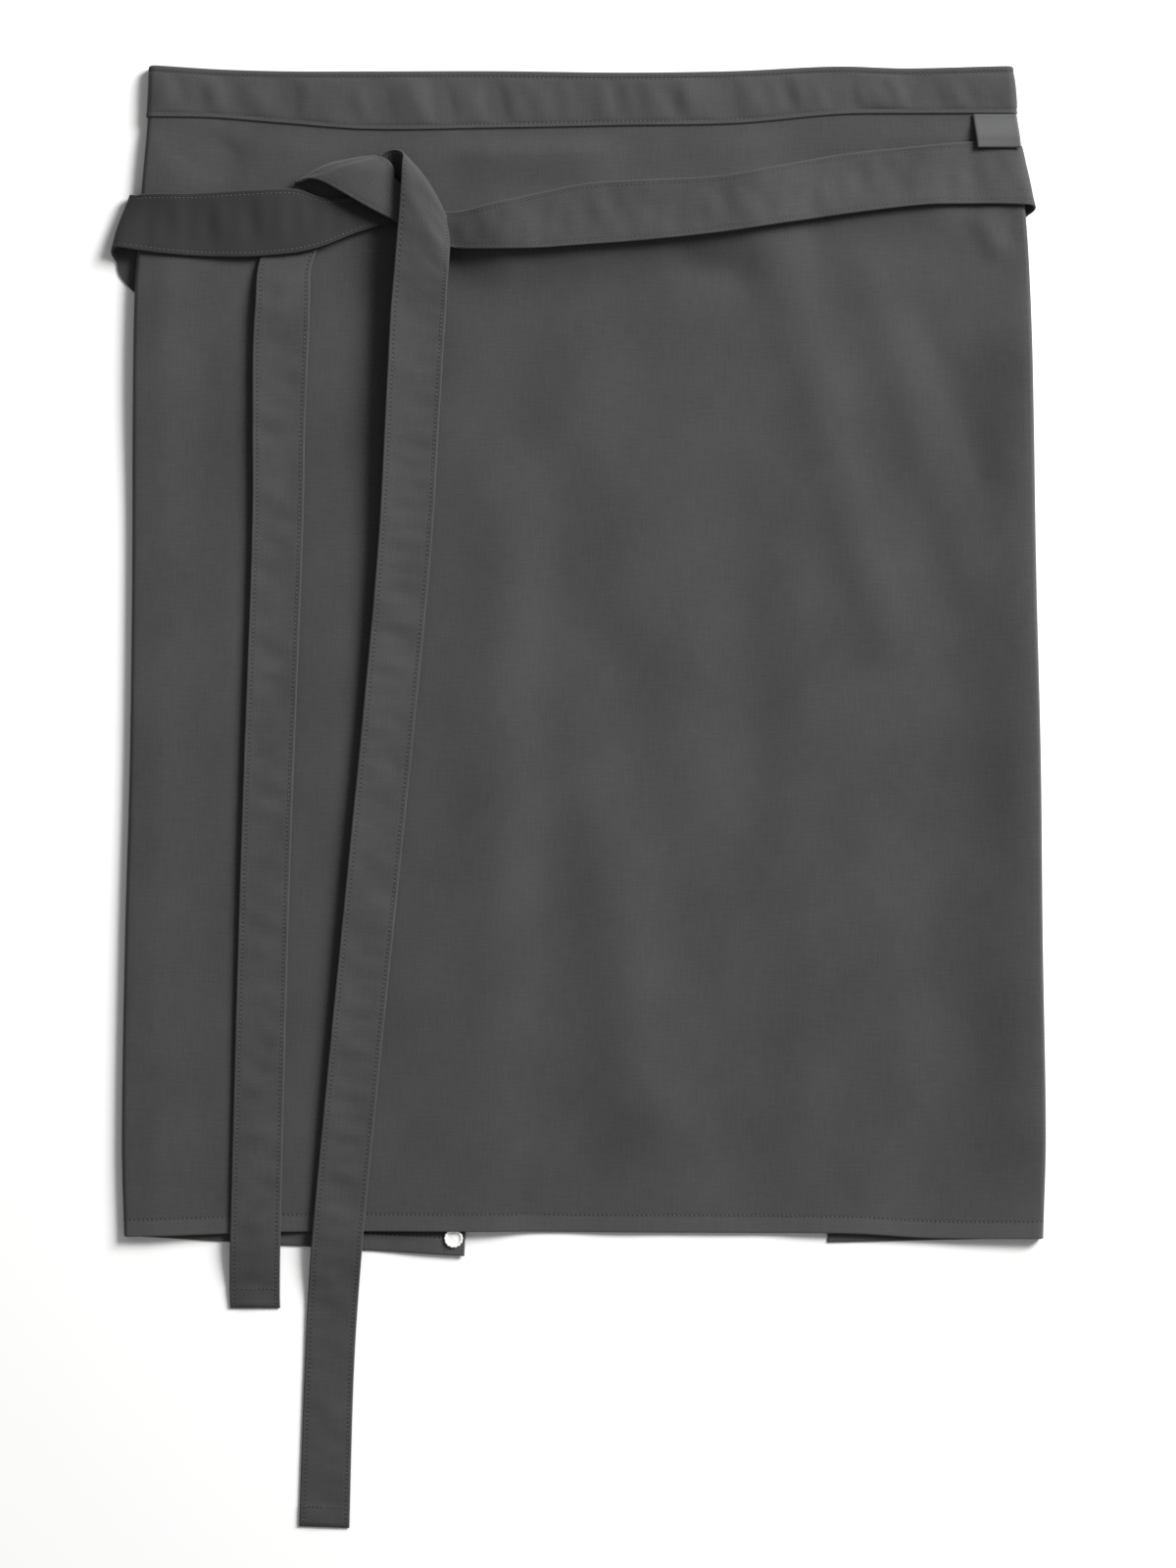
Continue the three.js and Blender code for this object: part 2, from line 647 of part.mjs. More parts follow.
// Where a tie leaves the end of the waistband on a wing: the band's own middle, width and height.
function bandEnd(wing) {
  const [top, mouth] = wingColumn(wing, 1);
  const middle = top.clone().add(mouth).multiplyScalar(0.5);
  const lean = Math.atan2(mouth.x - top.x, top.y - mouth.y);
  return {
    x: middle.x - wing.side * clearance,
    down: -middle.y,
    lean,
    half: (mouth.distanceTo(top) + bandCap) / 2,
    over: 0,
    ground: () => bandThickness / 2 - tieThickness / 2 - clearance,
  };
}

const onSurface = () => -clearance;

function leftTie() {
  const behind = refine([bandEnd(wings.right), ...spread(leftTieBehind, onSurface)]);
  const inFront = refine([...spread(leftTieInFront, frontTop), ...knotted(leftTieKnot)]);
  const tail = refine([...knotted(longTailTop), ...hanging(longTailRows, longTail)]);
  return tapeGeometry(turnedTip(joinRuns([behind, inFront, tail])), tieThickness);
}

function rightTie() {
  const behind = refine([bandEnd(wings.left), ...spread(rightTieBehind, onSurface)]);
  const inFront = refine([...spread(rightTieInFront, frontTop), ...knotted(rightTieKnot)]);
  const tail = refine([...knotted(shortTailTop), ...hanging(shortTailRows, shortTail)]);
  return tapeGeometry(turnedTip(joinRuns([behind, inFront, tail])), tieThickness);
}

// Stations of the label, a short doubled tape that hangs from the waistband's lower edge over the right tie.
function labelStations() {
  const right = foldLine(1, bandMouth(1)) + foldRadius + clothThickness / 2 + clearance;
  const start = bandMouth(labelAcross) + 2 * clearance;
  const first = frontTop(right, start) + clearance - tieEase;
  const last = frontTop(right, start + bandRelease + bandLead) + layer + 2 * clearance;
  return Array.from({ length: labelSteps + 1 }, (_, k) => {
    const t = k / labelSteps;
    const height = lerp(first, last, slope(labelRise * t)) + labelThickness / 2;
    const centre = new THREE.Vector3(right - labelWidth / 2, -(start + t * labelLength), height);
    return { centre, cross: new THREE.Vector3(1, 0, 0), half: labelWidth / 2, ply: 0 };
  });
}

// A round piece from a profile of radius and height, with its axis upright.
function turned(profile, segments) {
  const points = profile.map(([radius, height]) => new THREE.Vector2(radius, height));
  return new THREE.LatheGeometry(points, segments).rotateX(Math.PI / 2);
}

// The stud's cap, a low ring with a dished middle.
function studCapGeometry() {
  const radius = studDiameter / 2;
  const h = studCapHeight;
  const profile = [
    [0, 0],
    [0.94 * radius, 0],
    [radius, 0.25 * h],
    [0.97 * radius, 0.7 * h],
    [0.86 * radius, h],
    [0.7 * radius, 0.95 * h],
    [0.58 * radius, 0.6 * h],
    [0, 0.6 * h],
  ];
  return turned(profile, 32).translate(studX, -studDown, studCapFoot);
}

// The stud's back on the other face of the cloth, with the post that goes through it.
function studBackGeometry() {
  const radius = studDiameter / 2;
  const post = studPostDiameter / 2;
  const profile = [
    [0, 0],
    [0.9 * radius, 0],
    [radius, 0.5 * studBackHeight],
    [0.9 * radius, studBackHeight],
    [post, studBackHeight],
    [post, studCapFoot - clearance],
    [0, studCapFoot - clearance],
  ];
  return turned(profile, 32).translate(studX, -studDown, 0);
}

// Cuts the post's hole in the cloth.
function cutPostHole(geometry) {
  const solid = (source) => {
    const bare = source.clone();
    bare.deleteAttribute("normal");
    bare.deleteAttribute("uv");
    const merged = mergeVertices(bare, 1e-4);
    return new wasm.Manifold(
      new wasm.Mesh({
        numProp: 3,
        vertProperties: new Float32Array(merged.attributes.position.array),
        triVerts: new Uint32Array(merged.index.array),
      }),
    );
  };
  const hole = new THREE.CylinderGeometry(1, 1, 1, 16).rotateX(Math.PI / 2);
  const radius = studPostDiameter / 2 + clearance;
  hole.scale(radius, radius, 2 * studCapFoot).translate(studX, -studDown, 0);
  const cut = solid(geometry).subtract(solid(hole)).getMesh();
  return geometryOf(Array.from(cut.vertProperties), Array.from(cut.triVerts));
}

const twill = { color: 0x4b4b4c, roughness: 0.92, metalness: 0 };
const tape = { color: 0x5e5e60, roughness: 0.8, metalness: 0 };
const nickel = { color: 0xc9c9c6, roughness: 0.3, metalness: 1 };

function mesh(name, geometry, finish) {
  const made = new THREE.Mesh(geometry, new THREE.MeshStandardMaterial(finish));
  made.name = name;
  return made;
}

function makeApron() {
  const columns = clothColumns();
  const apron = new THREE.Group();
  apron.add(
    mesh("apron_panel", cutPostHole(apronGeometry(columns)), twill),
    mesh("waistband", bandGeometry(columns), twill),
    mesh("tie_left", leftTie(), twill),
    mesh("tie_right", rightTie(), twill),
    mesh("label_tab", tapeGeometry(labelStations(), labelThickness), tape),
    mesh("snap_cap", studCapGeometry(), nickel),
    mesh("snap_back", studBackGeometry(), nickel),
  );
  const centre = new THREE.Box3().setFromObject(apron).getCenter(new THREE.Vector3());
  apron.position.set(-centre.x, -centre.y, 0);
  return apron;
}

export default makeApron();
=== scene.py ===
"""A waist apron of dark grey twill, laid flat on a pale floor with its ties knotted in front.

The front faces up and both wings are folded behind it. The two ties leave the ends of the waistband,
cross behind, come round the sides and are tied once over the front, and their tails hang past the hem.
Lengths are millimetres in the apron's own frame: x to the right of its middle line, down from the top
of its waistband, z up from the floor. A mesh turns them into metres in the frame's place.
"""
import math

import bpy
import numpy as np
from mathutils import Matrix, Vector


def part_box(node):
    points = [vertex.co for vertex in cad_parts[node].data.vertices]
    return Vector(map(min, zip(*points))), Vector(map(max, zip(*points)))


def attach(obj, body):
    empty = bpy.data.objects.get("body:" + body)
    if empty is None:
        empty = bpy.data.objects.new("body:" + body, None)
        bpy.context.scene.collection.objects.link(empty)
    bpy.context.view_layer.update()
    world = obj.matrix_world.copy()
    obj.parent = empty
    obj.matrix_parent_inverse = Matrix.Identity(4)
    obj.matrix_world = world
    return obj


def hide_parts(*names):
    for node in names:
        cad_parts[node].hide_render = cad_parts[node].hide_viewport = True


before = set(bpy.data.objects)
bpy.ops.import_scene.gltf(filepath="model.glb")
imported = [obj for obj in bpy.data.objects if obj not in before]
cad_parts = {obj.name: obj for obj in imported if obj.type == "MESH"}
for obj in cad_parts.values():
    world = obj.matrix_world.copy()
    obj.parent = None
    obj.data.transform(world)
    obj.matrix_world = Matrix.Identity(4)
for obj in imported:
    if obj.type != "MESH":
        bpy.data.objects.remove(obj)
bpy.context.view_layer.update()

MM = 0.001
panel_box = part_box("apron_panel")
MIDDLE = (panel_box[0].x + panel_box[1].x) / 2
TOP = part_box("waistband")[1].y

# The view, straight down. A pixel is a pixel of the photograph, which is 1200 x 1600.
PIXEL = 0.67
IMAGE_WIDTH = 1200
IMAGE_HEIGHT = 1600
MIDDLE_PIXEL = 595.5
TOP_PIXEL = 67
CAMERA_HEIGHT = 3000
SENSOR = 36
MEAN_HEIGHT = 6

# The cloth, the waistband and the ties
APRON_HEIGHT = 800
FRONT_WIDTH = 632
CLOTH = 1
HEM_HEIGHT = 11.5
SIDE_HEM = 13.4
HEM_PLY = 0.6
CLEARANCE = 0.3
BAND_HEIGHT = 38
BAND_PLY = 1
FOLD_SLACK = 1.2
TIE_WIDTH = 41
TIE_TIP_WIDTH = 34.5
TIE_THICKNESS = 1.6
TIE_END = 15
TIE_END_PLY = 0.8
TIE_END_SEAM = TIE_END - 1.5
TIE_EASE = 0.2
KNOT_DROP = 110
KNOT_TOP = 0.745 * KNOT_DROP
KNOT_ACROSS = -0.201
LONG_TAIL = 918
SHORT_TAIL = 768
WRAP_DEPTH = 200
LABEL_WIDTH = 30
LABEL_LENGTH = 23.5
LABEL_THICKNESS = 1.1
LABEL_ACROSS = 0.97
LABEL_RISE = 1.4

# The press stud
STUD_DIAMETER = 12.9
STUD_CAP = 1.4
STUD_BACK = 1.2
STUD_POST = 4
STUD_FROM_SIDE = 8.1
STUD_FROM_HEM = 12.4

# What follows from them
BAND_THICKNESS = CLOTH + 2 * (CLEARANCE + BAND_PLY)
BAND_CAP = CLEARANCE + BAND_PLY
FOLD_RADIUS = BAND_THICKNESS / 2 + FOLD_SLACK
LAYER = TIE_THICKNESS + CLEARANCE
WING_REST = CLOTH / 2
WING_OVER_TIES = LAYER + CLEARANCE + CLOTH / 2
FRONT_OVER_BAND = BAND_THICKNESS + 2 * CLEARANCE
FRONT_OVER_WING = CLOTH + 2 * HEM_PLY + 2 * CLEARANCE

# Seams: how far a stitch line lies from its edge, the length of a stitch and its thread
STITCH_INSET = 3
STITCH_PITCH = 3
STITCH_LENGTH = 2.3
THREAD = 0.5

# The least height of a piece above the floor
CLOTH_OFF_FLOOR = 0.02
THREAD_OFF_FLOOR = 0.03

# How softly the cloth comes down: each is the length of a slope
BAND_LEAD = 2
BAND_RELEASE = 18
WRAP_RELEASE = 120
LEFT_RIDGE = 55
RIGHT_RIDGE = 75
SAG_SLOPE = 45
SIDE_SLOPE = 22
EASE = 1.2
STUD_SPREAD = 45
HEM_FALL = 50

# How much the surfaces swell, ripple and are drawn in at their seams
FRONT_RIPPLE = 0.55
DEEPEST_HOLLOW = -0.7
PUCKER_EASE = 0.5
PUCKER_DEPTH = 1.4
FINE_PUCKER = 0.35
BAND_DRAWN = 0.22
DEEPEST_PUCKER = -0.28
TIE_FULLNESS = 0.2
TIE_RIPPLE = 0.58
TIE_DRAWN = 0.09

# How wide the rounding of a rim is, for the cloth and the ties and for the thinner strips
RIM = 0.8
THIN_RIM = 0.5


def table(names, *rows):
    """A table as one array for each named column."""
    return dict(zip(names.split(), np.array(rows, float).T))


# Both folded sides, as shares of the height and of the front's width inside its widest place.
SIDES = table(
    "down left right",
    (0, 0.0315, 0.037),
    (0.05, 0.028, 0.0315),
    (0.1, 0.0225, 0.025),
    (0.15, 0.018, 0.0195),
    (0.2, 0.014, 0.0165),
    (0.3, 0.012, 0.0135),
    (0.45, 0.011, 0.01),
    (0.6, 0.0085, 0.0055),
    (0.75, 0.0033, 0.0035),
    (0.92, 0, 0),
    (1, 0.0025, 0.0024),
)

# The front across its width: how far its top and hem lie lower than a straight line, as shares of
# the height, and the height of the waistband as a share of its full one.
EDGES = table(
    "across top band hem",
    (0, 0, 0.93, 0.0008),
    (0.07, 0.003, 0.88, -0.0005),
    (0.15, 0.0047, 0.94, -0.0028),
    (0.25, 0.0048, 1.05, -0.0035),
    (0.4, 0.0046, 1.03, -0.0034),
    (0.55, 0.0058, 0.96, -0.0026),
    (0.68, 0.0045, 0.95, -0.0022),
    (0.8, 0.0006, 0.87, -0.0015),
    (0.88, 0.0022, 0.82, 0.0022),
    (1, 0.0006, 0.86, 0.0026),
)

# The wings: width, width at the waistband as a share of it, how far the free corners lie lower than
# the folded ones as shares of the height, and the side of the front that each hangs on.
LEFT_WING = dict(side=-1, width=230, top=1.094, drop_top=0.0184, drop_hem=0.018, edge=0)
RIGHT_WING = dict(side=1, width=144, top=1.023, drop_top=0.0093, drop_hem=0.0062, edge=1)

# The ties. across is a share of the front's width from its middle line, down a share of the knot's
# drop, lean the turn of the cross line in degrees, wide its length in tie widths, over the layers
# below. rise and other are how far the edge at the cross line's head and the one at its foot stand
# above the middle, in millimetres.
ON_THE_FLAT = "across down lean wide over rise other"
LEFT_BEHIND = table(
    ON_THE_FLAT,
    (0.148, 0.38, 20, 0.99, 0, 0, 0),
    (0.058, 0.64, 28, 1, 0, 0, 0),
    (-0.038, 0.945, 29, 1, 0, 0, 0),
    (-0.133, 1.225, 25, 1, 0, 0, 0),
    (-0.228, 1.44, 16, 1, 0, 0, 0),
    (-0.324, 1.54, 2, 1, 0, 0, 0),
    (-0.403, 1.455, -18, 1, 0, 0, 0),
    (-0.461, 1.285, -31, 1, 0, 0, 0),
    (-0.488, 1.13, -25, 1.03, 0, 0, 0),
    (-0.4935, 1.017, -19, 1.105, 0, 0, 0),
)
LEFT_IN_FRONT = table(
    ON_THE_FLAT,
    (-0.4922, 0.9745, -20.6, 0.907, 0.2, 0, 1),
    (-0.4797, 0.9776, -6, 0.938, 0.5, 1.5, 0.5),
    (-0.4537, 0.9885, -4.7, 0.993, 1, 3, -1),
    (-0.4193, 0.9959, 0, 1.03, 1.5, 4, -2),
    (-0.3928, 0.9938, 0, 1.067, 1.9, 4.5, -2),
    (-0.361, 0.99, 0, 1.095, 2.3, 4, -1.5),
)
RIGHT_BEHIND = table(
    ON_THE_FLAT,
    (0.005, 0.42, -16, 0.99, 1, 0, 0),
    (0.074, 0.61, -26, 1, 1, 0, 0),
    (0.15, 0.85, -24, 1, 1, 0, 0),
    (0.203, 0.985, -18, 1, 0, 0, 0),
    (0.249, 1.06, -12, 1, 0, 0, 0),
    (0.339, 1.09, 6, 1, 0, 0, 0),
    (0.397, 0.993, 20, 1, 0, 0, 0),
    (0.439, 0.865, 25, 1, 0, 0, 0),
    (0.463, 0.785, 17, 1.06, 0, 0, 0),
    (0.4739, 0.7157, 9, 1.14, 0, 0, 0),
)
RIGHT_IN_FRONT = table(
    ON_THE_FLAT,
    (0.4745, 0.686, 11, 1.01, 0, 0, 1),
    (0.457, 0.675, 5, 1.04, 0, 0, 1),
    (0.427, 0.671, 2, 1.05, 0.2, 0, 1.2),
    (0.362, 0.695, 4, 0.99, 0.6, 0, 2),
    (0.28, 0.748, 6, 1, 1.2, 0, 1.5),
    (0.216, 0.812, 9, 0.96, 2.4, 0.5, 0.5),
    (0.151, 0.876, 9, 0.93, 2.5, 1, 0),
    (0.069, 0.914, 5, 1, 2.6, 1, 0),
    (0.005, 0.941, 5, 1.01, 2.6, 1, 0),
    (-0.07, 0.999, 8, 0.85, 3.4, 0, 0),
)

# The knot. right and below are measured in tie widths from the knot's middle.
IN_THE_KNOT = "right below lean wide over rise other"
LEFT_KNOT = table(
    IN_THE_KNOT,
    (-1.73, -0.069, -2, 1.07, 2.4, 2, -1),
    (-1.24, -0.05, -4, 0.82, 2.2, 0, 0),
    (-0.67, -0.19, -8, 0.66, 1.8, 0, 0),
    (-0.23, -0.37, 5, 0.69, 1.8, 0, 0),
    (0.002, -0.591, 33.7, 1.06, 1.8, 0, 0),
    (0.239, -0.714, 43, 1.364, 1.8, 0, 0),
)
LONG_TAIL_TOP = table(
    IN_THE_KNOT,
    (0.451, -0.567, 36.4, 1.239, 8.2, 0, -4.5),
    (0.475, -0.306, 38.2, 1.268, 8.9, -0.5, -5.5),
    (0.469, -0.011, 44.6, 1.17, 9, -0.5, -5),
    (0.446, 0.307, 52.2, 1.065, 8.6, 0.5, -3.5),
    (0.41, 0.716, 63.9, 0.964, 7.6, 2, -1.5),
    (0.373, 1.19, 73.6, 0.928, 5.9, 3, -1),
)
RIGHT_KNOT = table(
    IN_THE_KNOT,
    (0.9, 0.09, 3, 0.6, 4.4, 0, 0),
    (0.41, -0.13, 0, 0.64, 5, 0, 0),
    (-0.072, -0.42, -10.2, 0.647, 5.3, -1, 1),
    (-0.296, -0.608, -41.2, 0.78, 6, -2, 1),
    (-0.554, -0.804, -62.2, 0.997, 6.6, -3.5, 0.5),
    (-0.815, -0.943, -73.7, 1.225, 6.6, -4.5, -1.5),
    (-1.02, -0.91, -72, 1.426, 5.6, -4.5, -5),
)
SHORT_TAIL_TOP = table(
    IN_THE_KNOT,
    (-1.03, -0.88, -72, 1.42, 0.4, 0, 0),
    (-1.28, -0.47, -80, 1.12, 0, 0, 0),
    (-1.53, -0.05, -86, 0.95, 0, 0, 0),
)

# The tails. drop is a share of the tail's length below the top of the knot.
IN_THE_TAIL = "drop across lean wide over rise other"
LONG_TAIL_ROWS = table(
    IN_THE_TAIL,
    (0.104, -0.179, 83, 1.09, 5, 3.5, -1),
    (0.17, -0.1845, 86.7, 1.07, 4, 3.5, -1),
    (0.27, -0.1933, 86.7, 1.055, 2.6, 3, -1),
    (0.39, -0.2095, 84.6, 1.04, 1.4, 2.5, -0.8),
    (0.52, -0.2285, 84.4, 1.03, 1, 2.6, -0.7),
    (0.65, -0.2475, 84.4, 1.02, 0.8, 2.2, -0.5),
    (0.796, -0.2677, 84.8, 1.01, 0.3, 1, 0),
    (0.883, -0.2756, 86.4, 0.98, 0, 0, 0),
    (1, -0.281, 88, 1, 0, 0, 0),
)
SHORT_TAIL_ROWS = table(
    IN_THE_TAIL,
    (0.0686, -0.322, -90, 1.06, 0.2, 0, 1),
    (0.105, -0.325, -90, 1.08, 1.4, 0, 1.5),
    (0.145, -0.3273, -90, 1.1, 0.7, 0, 2),
    (0.22, -0.3295, -91, 1.04, 0.7, 0, 2),
    (0.323, -0.3315, -91.5, 1.01, 0.5, 0, 1.8),
    (0.62, -0.3448, -92, 0.99, 0.3, 0, 1.2),
    (0.9445, -0.3553, -91, 1, 0, 0, 0),
    (1, -0.3557, -90, 0.99, 0, 0, 0),
)

# How far each turn of a tie stands out past its cross line, at the head, the middle and the foot
LEFT_SIDE_TURN = (6, 6, 5)
RIGHT_SIDE_TURN = (3.5, 5, 6)
LONG_TAIL_TURN = (6, 6.5, 1.5)
SHORT_TAIL_TURN = (1.5, 6, 1)

# Soft ridges (height above 0) and hollows (below 0) of the front, each along a straight line, in
# shares of the front's width from its middle and of its height; width and height are millimetres.
CREASES = table(
    "across down to_across to_down width height",
    (-0.455, 0.05, -0.375, 0.088, 14, -3),
    (-0.13, 0.072, 0.02, 0.075, 21, 3),
    (0.485, 0.21, 0.485, 0.93, 36, 6.5),
    (0.21, 0.15, 0.33, 0.5, 19, 1.9),
    (0.291, 0.15, 0.42, 0.45, 17, 1.5),
    (0.36, 0.2, 0.44, 0.37, 14, -1.1),
    (-0.115, 0.158, 0.217, 0.13, 24, 9.5),
    (0.217, 0.128, 0.4, 0.115, 17, 4.5),
    (0.015, 0.62, 0.067, 0.915, 30, 3.8),
    (-0.09, 0.35, -0.095, 0.957, 26, 2),
    (0.1, 0.163, 0.185, 0.187, 14, -2),
    (0.429, 0.13, 0.45, 0.163, 8, 1.8),
    (0.466, 0.124, 0.459, 0.153, 7, -1.2),
    (-0.03, 0.25, 0.07, 0.5, 30, 1.6),
)


def mix(a, b, t):
    """The value at the share t of the way from a to b."""
    return a + (b - a) * t


def smooth(t):
    """0 below 0, 1 above 1, and 3t^2 - 2t^3 between."""
    t = np.clip(t, 0, 1)
    return t * t * (3 - 2 * t)


def bell(t):
    """exp(-t^2): 1 at 0 and nothing beyond 2."""
    return np.exp(-t * t)


def cubic(before, a, b, after, t):
    """The cubic from a to b whose rates at both ends are those given, over a step of 1."""
    bend = (before * (1 - t) - after * t) + (b - a) * (2 * t - 1)
    return mix(a, b, t) + t * (1 - t) * bend


def read(rows, key, at, column):
    """One column of a table at any places of its key column, through its rows by cubics whose rate
    in a row is the difference of its neighbours over their distance."""
    keys, values = rows[key], rows[column]
    at = np.clip(at, keys[0], keys[-1])
    i = np.clip(np.searchsorted(keys, at, side="right") - 1, 0, len(keys) - 2)
    k = np.arange(len(keys))
    before, after = np.maximum(k - 1, 0), np.minimum(k + 1, len(keys) - 1)
    rate = (values[after] - values[before]) / (keys[after] - keys[before])
    span = keys[i + 1] - keys[i]
    return cubic(rate[i] * span, values[i], values[i + 1], rate[i + 1] * span, (at - keys[i]) / span)


def ripples(u, v, seed, longest, shortest, count=18):
    """Even random ripples between -1 and 1 or so: a sum of count cosines of u and v, whose
    directions, phases and wavelengths between shortest and longest come from the seed."""
    rng = np.random.default_rng(seed)
    angle = rng.uniform(0, np.pi, count)
    length = np.exp(rng.uniform(np.log(shortest), np.log(longest), count))
    phase = rng.uniform(0, 2 * np.pi, count)
    total = np.zeros(np.broadcast(u, v).shape)
    for turn, wave, start in zip(angle, length, phase):
        total = total + np.cos(2 * np.pi * (u * np.cos(turn) + v * np.sin(turn)) / wave + start)
    return total / np.sqrt(2 * count)


# The surfaces of the cloth: where its sides lie and how high its middle surface is.
def fold_line(side, down):
    """The middle line of a folded side at a depth."""
    inset = read(SIDES, "down", down / APRON_HEIGHT, "left" if side < 0 else "right") * FRONT_WIDTH
    return side * (FRONT_WIDTH / 2 - inset - FOLD_RADIUS - CLOTH / 2)


def wing_edge(wing, down):
    """The free edge of a wing: a straight line from its top corner to its hem corner."""
    top = fold_line(wing["side"], 0.0) - wing["side"] * wing["width"] * wing["top"]
    hem = fold_line(wing["side"], float(APRON_HEIGHT)) - wing["side"] * wing["width"]
    return mix(top, hem, down / APRON_HEIGHT)


STUD_X = float(wing_edge(LEFT_WING, APRON_HEIGHT)) - STUD_FROM_SIDE
STUD_DOWN = APRON_HEIGHT * (1 + LEFT_WING["drop_hem"]) - STUD_FROM_HEM
STUD_SEAT = STUD_BACK + CLEARANCE + CLOTH / 2
STUD_FOOT = STUD_SEAT + CLOTH / 2 + HEM_PLY + CLEARANCE
FRONT_OVER_STUD = STUD_FOOT + STUD_CAP + CLEARANCE + HEM_PLY + CLOTH / 2


def over_stud(height, x, down, target):
    """Lifts a height to the target round the press stud, falling off with the distance from it."""
    away = np.hypot(x - STUD_X, down - STUD_DOWN)
    return mix(height, np.maximum(height, target), 1 - smooth((away - STUD_DIAMETER) / STUD_SPREAD))


def band_mouth(across):
    """The waistband's lower edge on the front."""
    top = read(EDGES, "across", across, "top") * APRON_HEIGHT
    return top + read(EDGES, "across", across, "band") * BAND_HEIGHT


def below_band(down, mouth):
    """0 inside the waistband and 1 well below its lower edge."""
    return smooth((down - mouth - BAND_LEAD) / BAND_RELEASE)


def wing_height(down, mouth):
    """A wing's middle surface: level in the waistband, over the ties behind it, then on the floor."""
    over_ties = mix(BAND_THICKNESS / 2, WING_OVER_TIES, below_band(down, mouth))
    return mix(over_ties, WING_REST, smooth((down - WRAP_DEPTH) / WRAP_RELEASE))


def creases(x, down):
    """The sum of the soft ridges and hollows: each is a bell across its line and fades over its ends."""
    total = np.zeros(np.broadcast(x, down).shape)
    for a, d, a2, d2, width, height in zip(*CREASES.values()):
        start = np.array([a * FRONT_WIDTH, d * APRON_HEIGHT])
        way = np.array([a2 * FRONT_WIDTH, d2 * APRON_HEIGHT]) - start
        length = np.hypot(*way)
        along = ((x - start[0]) * way[0] + (down - start[1]) * way[1]) / length
        aside = ((x - start[0]) * way[1] - (down - start[1]) * way[0]) / length
        ends = smooth((along + width) / (2 * width)) * smooth((length + width - along) / (2 * width))
        total = total + height * bell(aside / width) * ends
    return total


def front_height(x, down):
    """The front's middle surface: over the wings, with a ridge at each folded side and a sag between
    the wings, lifted over the stud, with its creases and faint ripples below the waistband."""
    from_left = x - fold_line(-1, down)
    from_right = fold_line(1, down) - x
    mouth = band_mouth(from_left / (from_left + from_right))
    free = below_band(down, mouth)
    over = mix(FRONT_OVER_BAND, FRONT_OVER_WING, free)
    ridge = 2 * FOLD_RADIUS - over
    left = ridge * (1 - smooth(from_left / LEFT_RIDGE))
    right = ridge * (1 - smooth(from_right / RIGHT_RIDGE))
    in_gap = smooth((x - wing_edge(LEFT_WING, down)) / SAG_SLOPE)
    in_other_gap = smooth((wing_edge(RIGHT_WING, down) - x) / SAG_SLOPE)
    sagged = smooth((down - WRAP_DEPTH - WRAP_RELEASE / 2) / WRAP_RELEASE)
    sag = (over - HEM_PLY - CLEARANCE) * in_gap * in_other_gap * sagged
    height = wing_height(down, mouth) + over + left + right - sag
    at_side = smooth(from_left / SIDE_SLOPE)
    relief = EASE + creases(x, down) + FRONT_RIPPLE * ripples(x, 0.4 * down, 5, 170, 60)
    height = height + free * at_side * np.maximum(relief, DEEPEST_HOLLOW)
    return over_stud(height, x, down, FRONT_OVER_STUD)


# Meshes. A sheet of cloth is two grids of points, its face and its back, joined round the rim.
def unit(v):
    """Vectors of length 1."""
    return v / np.maximum(np.linalg.norm(v, axis=-1, keepdims=True), 1e-9)


def lengths(line):
    """How far along a line each of its points lies: the running sum of its steps."""
    return np.concatenate([[0], np.cumsum(np.linalg.norm(np.diff(line, axis=0), axis=-1))])


def interpolated(line, along, places):
    """A line read at places between its points, whose distances are along."""
    return np.stack([np.interp(places, along, values) for values in line.T], -1)


def grid_normals(middle):
    """The cross product of the steps along the first and the second parameter of a grid. Depths grow
    downwards, so it points to the side from which the second runs down when the first runs right."""
    return unit(np.cross(np.gradient(middle, axis=0), np.gradient(middle, axis=1)))


def grid_quads(columns, rows):
    """Quads of a grid of columns x rows points, numbered column by column."""
    a = (np.arange(columns - 1)[:, None] * rows + np.arange(rows - 1)).reshape(-1, 1)
    return a + np.array([0, 1, rows + 1, rows])


def skin_quads(columns, rows):
    """Quads of a face grid, of a back grid that follows it, and of the rim between the two."""
    count = columns * rows
    index = np.arange(count).reshape(columns, rows)
    face = grid_quads(columns, rows)
    loop = np.concatenate([index[0, :-1], index[:-1, -1], index[-1, :0:-1], index[:0:-1, 0]])
    ahead = np.roll(loop, -1)
    rim = np.stack([ahead, loop, loop + count, ahead + count], -1)
    return np.concatenate([face, face[:, ::-1] + count, rim])


def build(name, points, faces, maps=()):
    """A mesh object at the origin from points in the apron's frame, faces of 3 or 4 corners and
    named UV maps with one pair of values for each point."""
    x, down, z = points.reshape(-1, 3).T
    places = np.stack([MIDDLE + x * MM, TOP - down * MM, z * MM], -1)
    mesh = bpy.data.meshes.new(name)
    corners = np.concatenate([f.reshape(-1) for f in faces]).astype(np.int32)
    sizes = np.concatenate([np.full(len(f), f.shape[1]) for f in faces])
    mesh.vertices.add(len(places))
    mesh.vertices.foreach_set("co", places.astype(np.float32).reshape(-1))
    mesh.loops.add(len(corners))
    mesh.loops.foreach_set("vertex_index", corners)
    mesh.polygons.add(len(sizes))
    starts = np.concatenate([[0], np.cumsum(sizes)[:-1]]).astype(np.int32)
    mesh.polygons.foreach_set("loop_start", starts)
    mesh.polygons.foreach_set("use_smooth", np.ones(len(sizes), bool))
    for title, values in maps:
        layer = mesh.uv_layers.new(name=title)
        layer.uv.foreach_set("vector", values.reshape(-1, 2)[corners].astype(np.float32).reshape(-1))
    mesh.update(calc_edges=True)
    mesh.validate()
    piece = bpy.data.objects.new(name, mesh)
    bpy.context.scene.collection.objects.link(piece)
    return piece


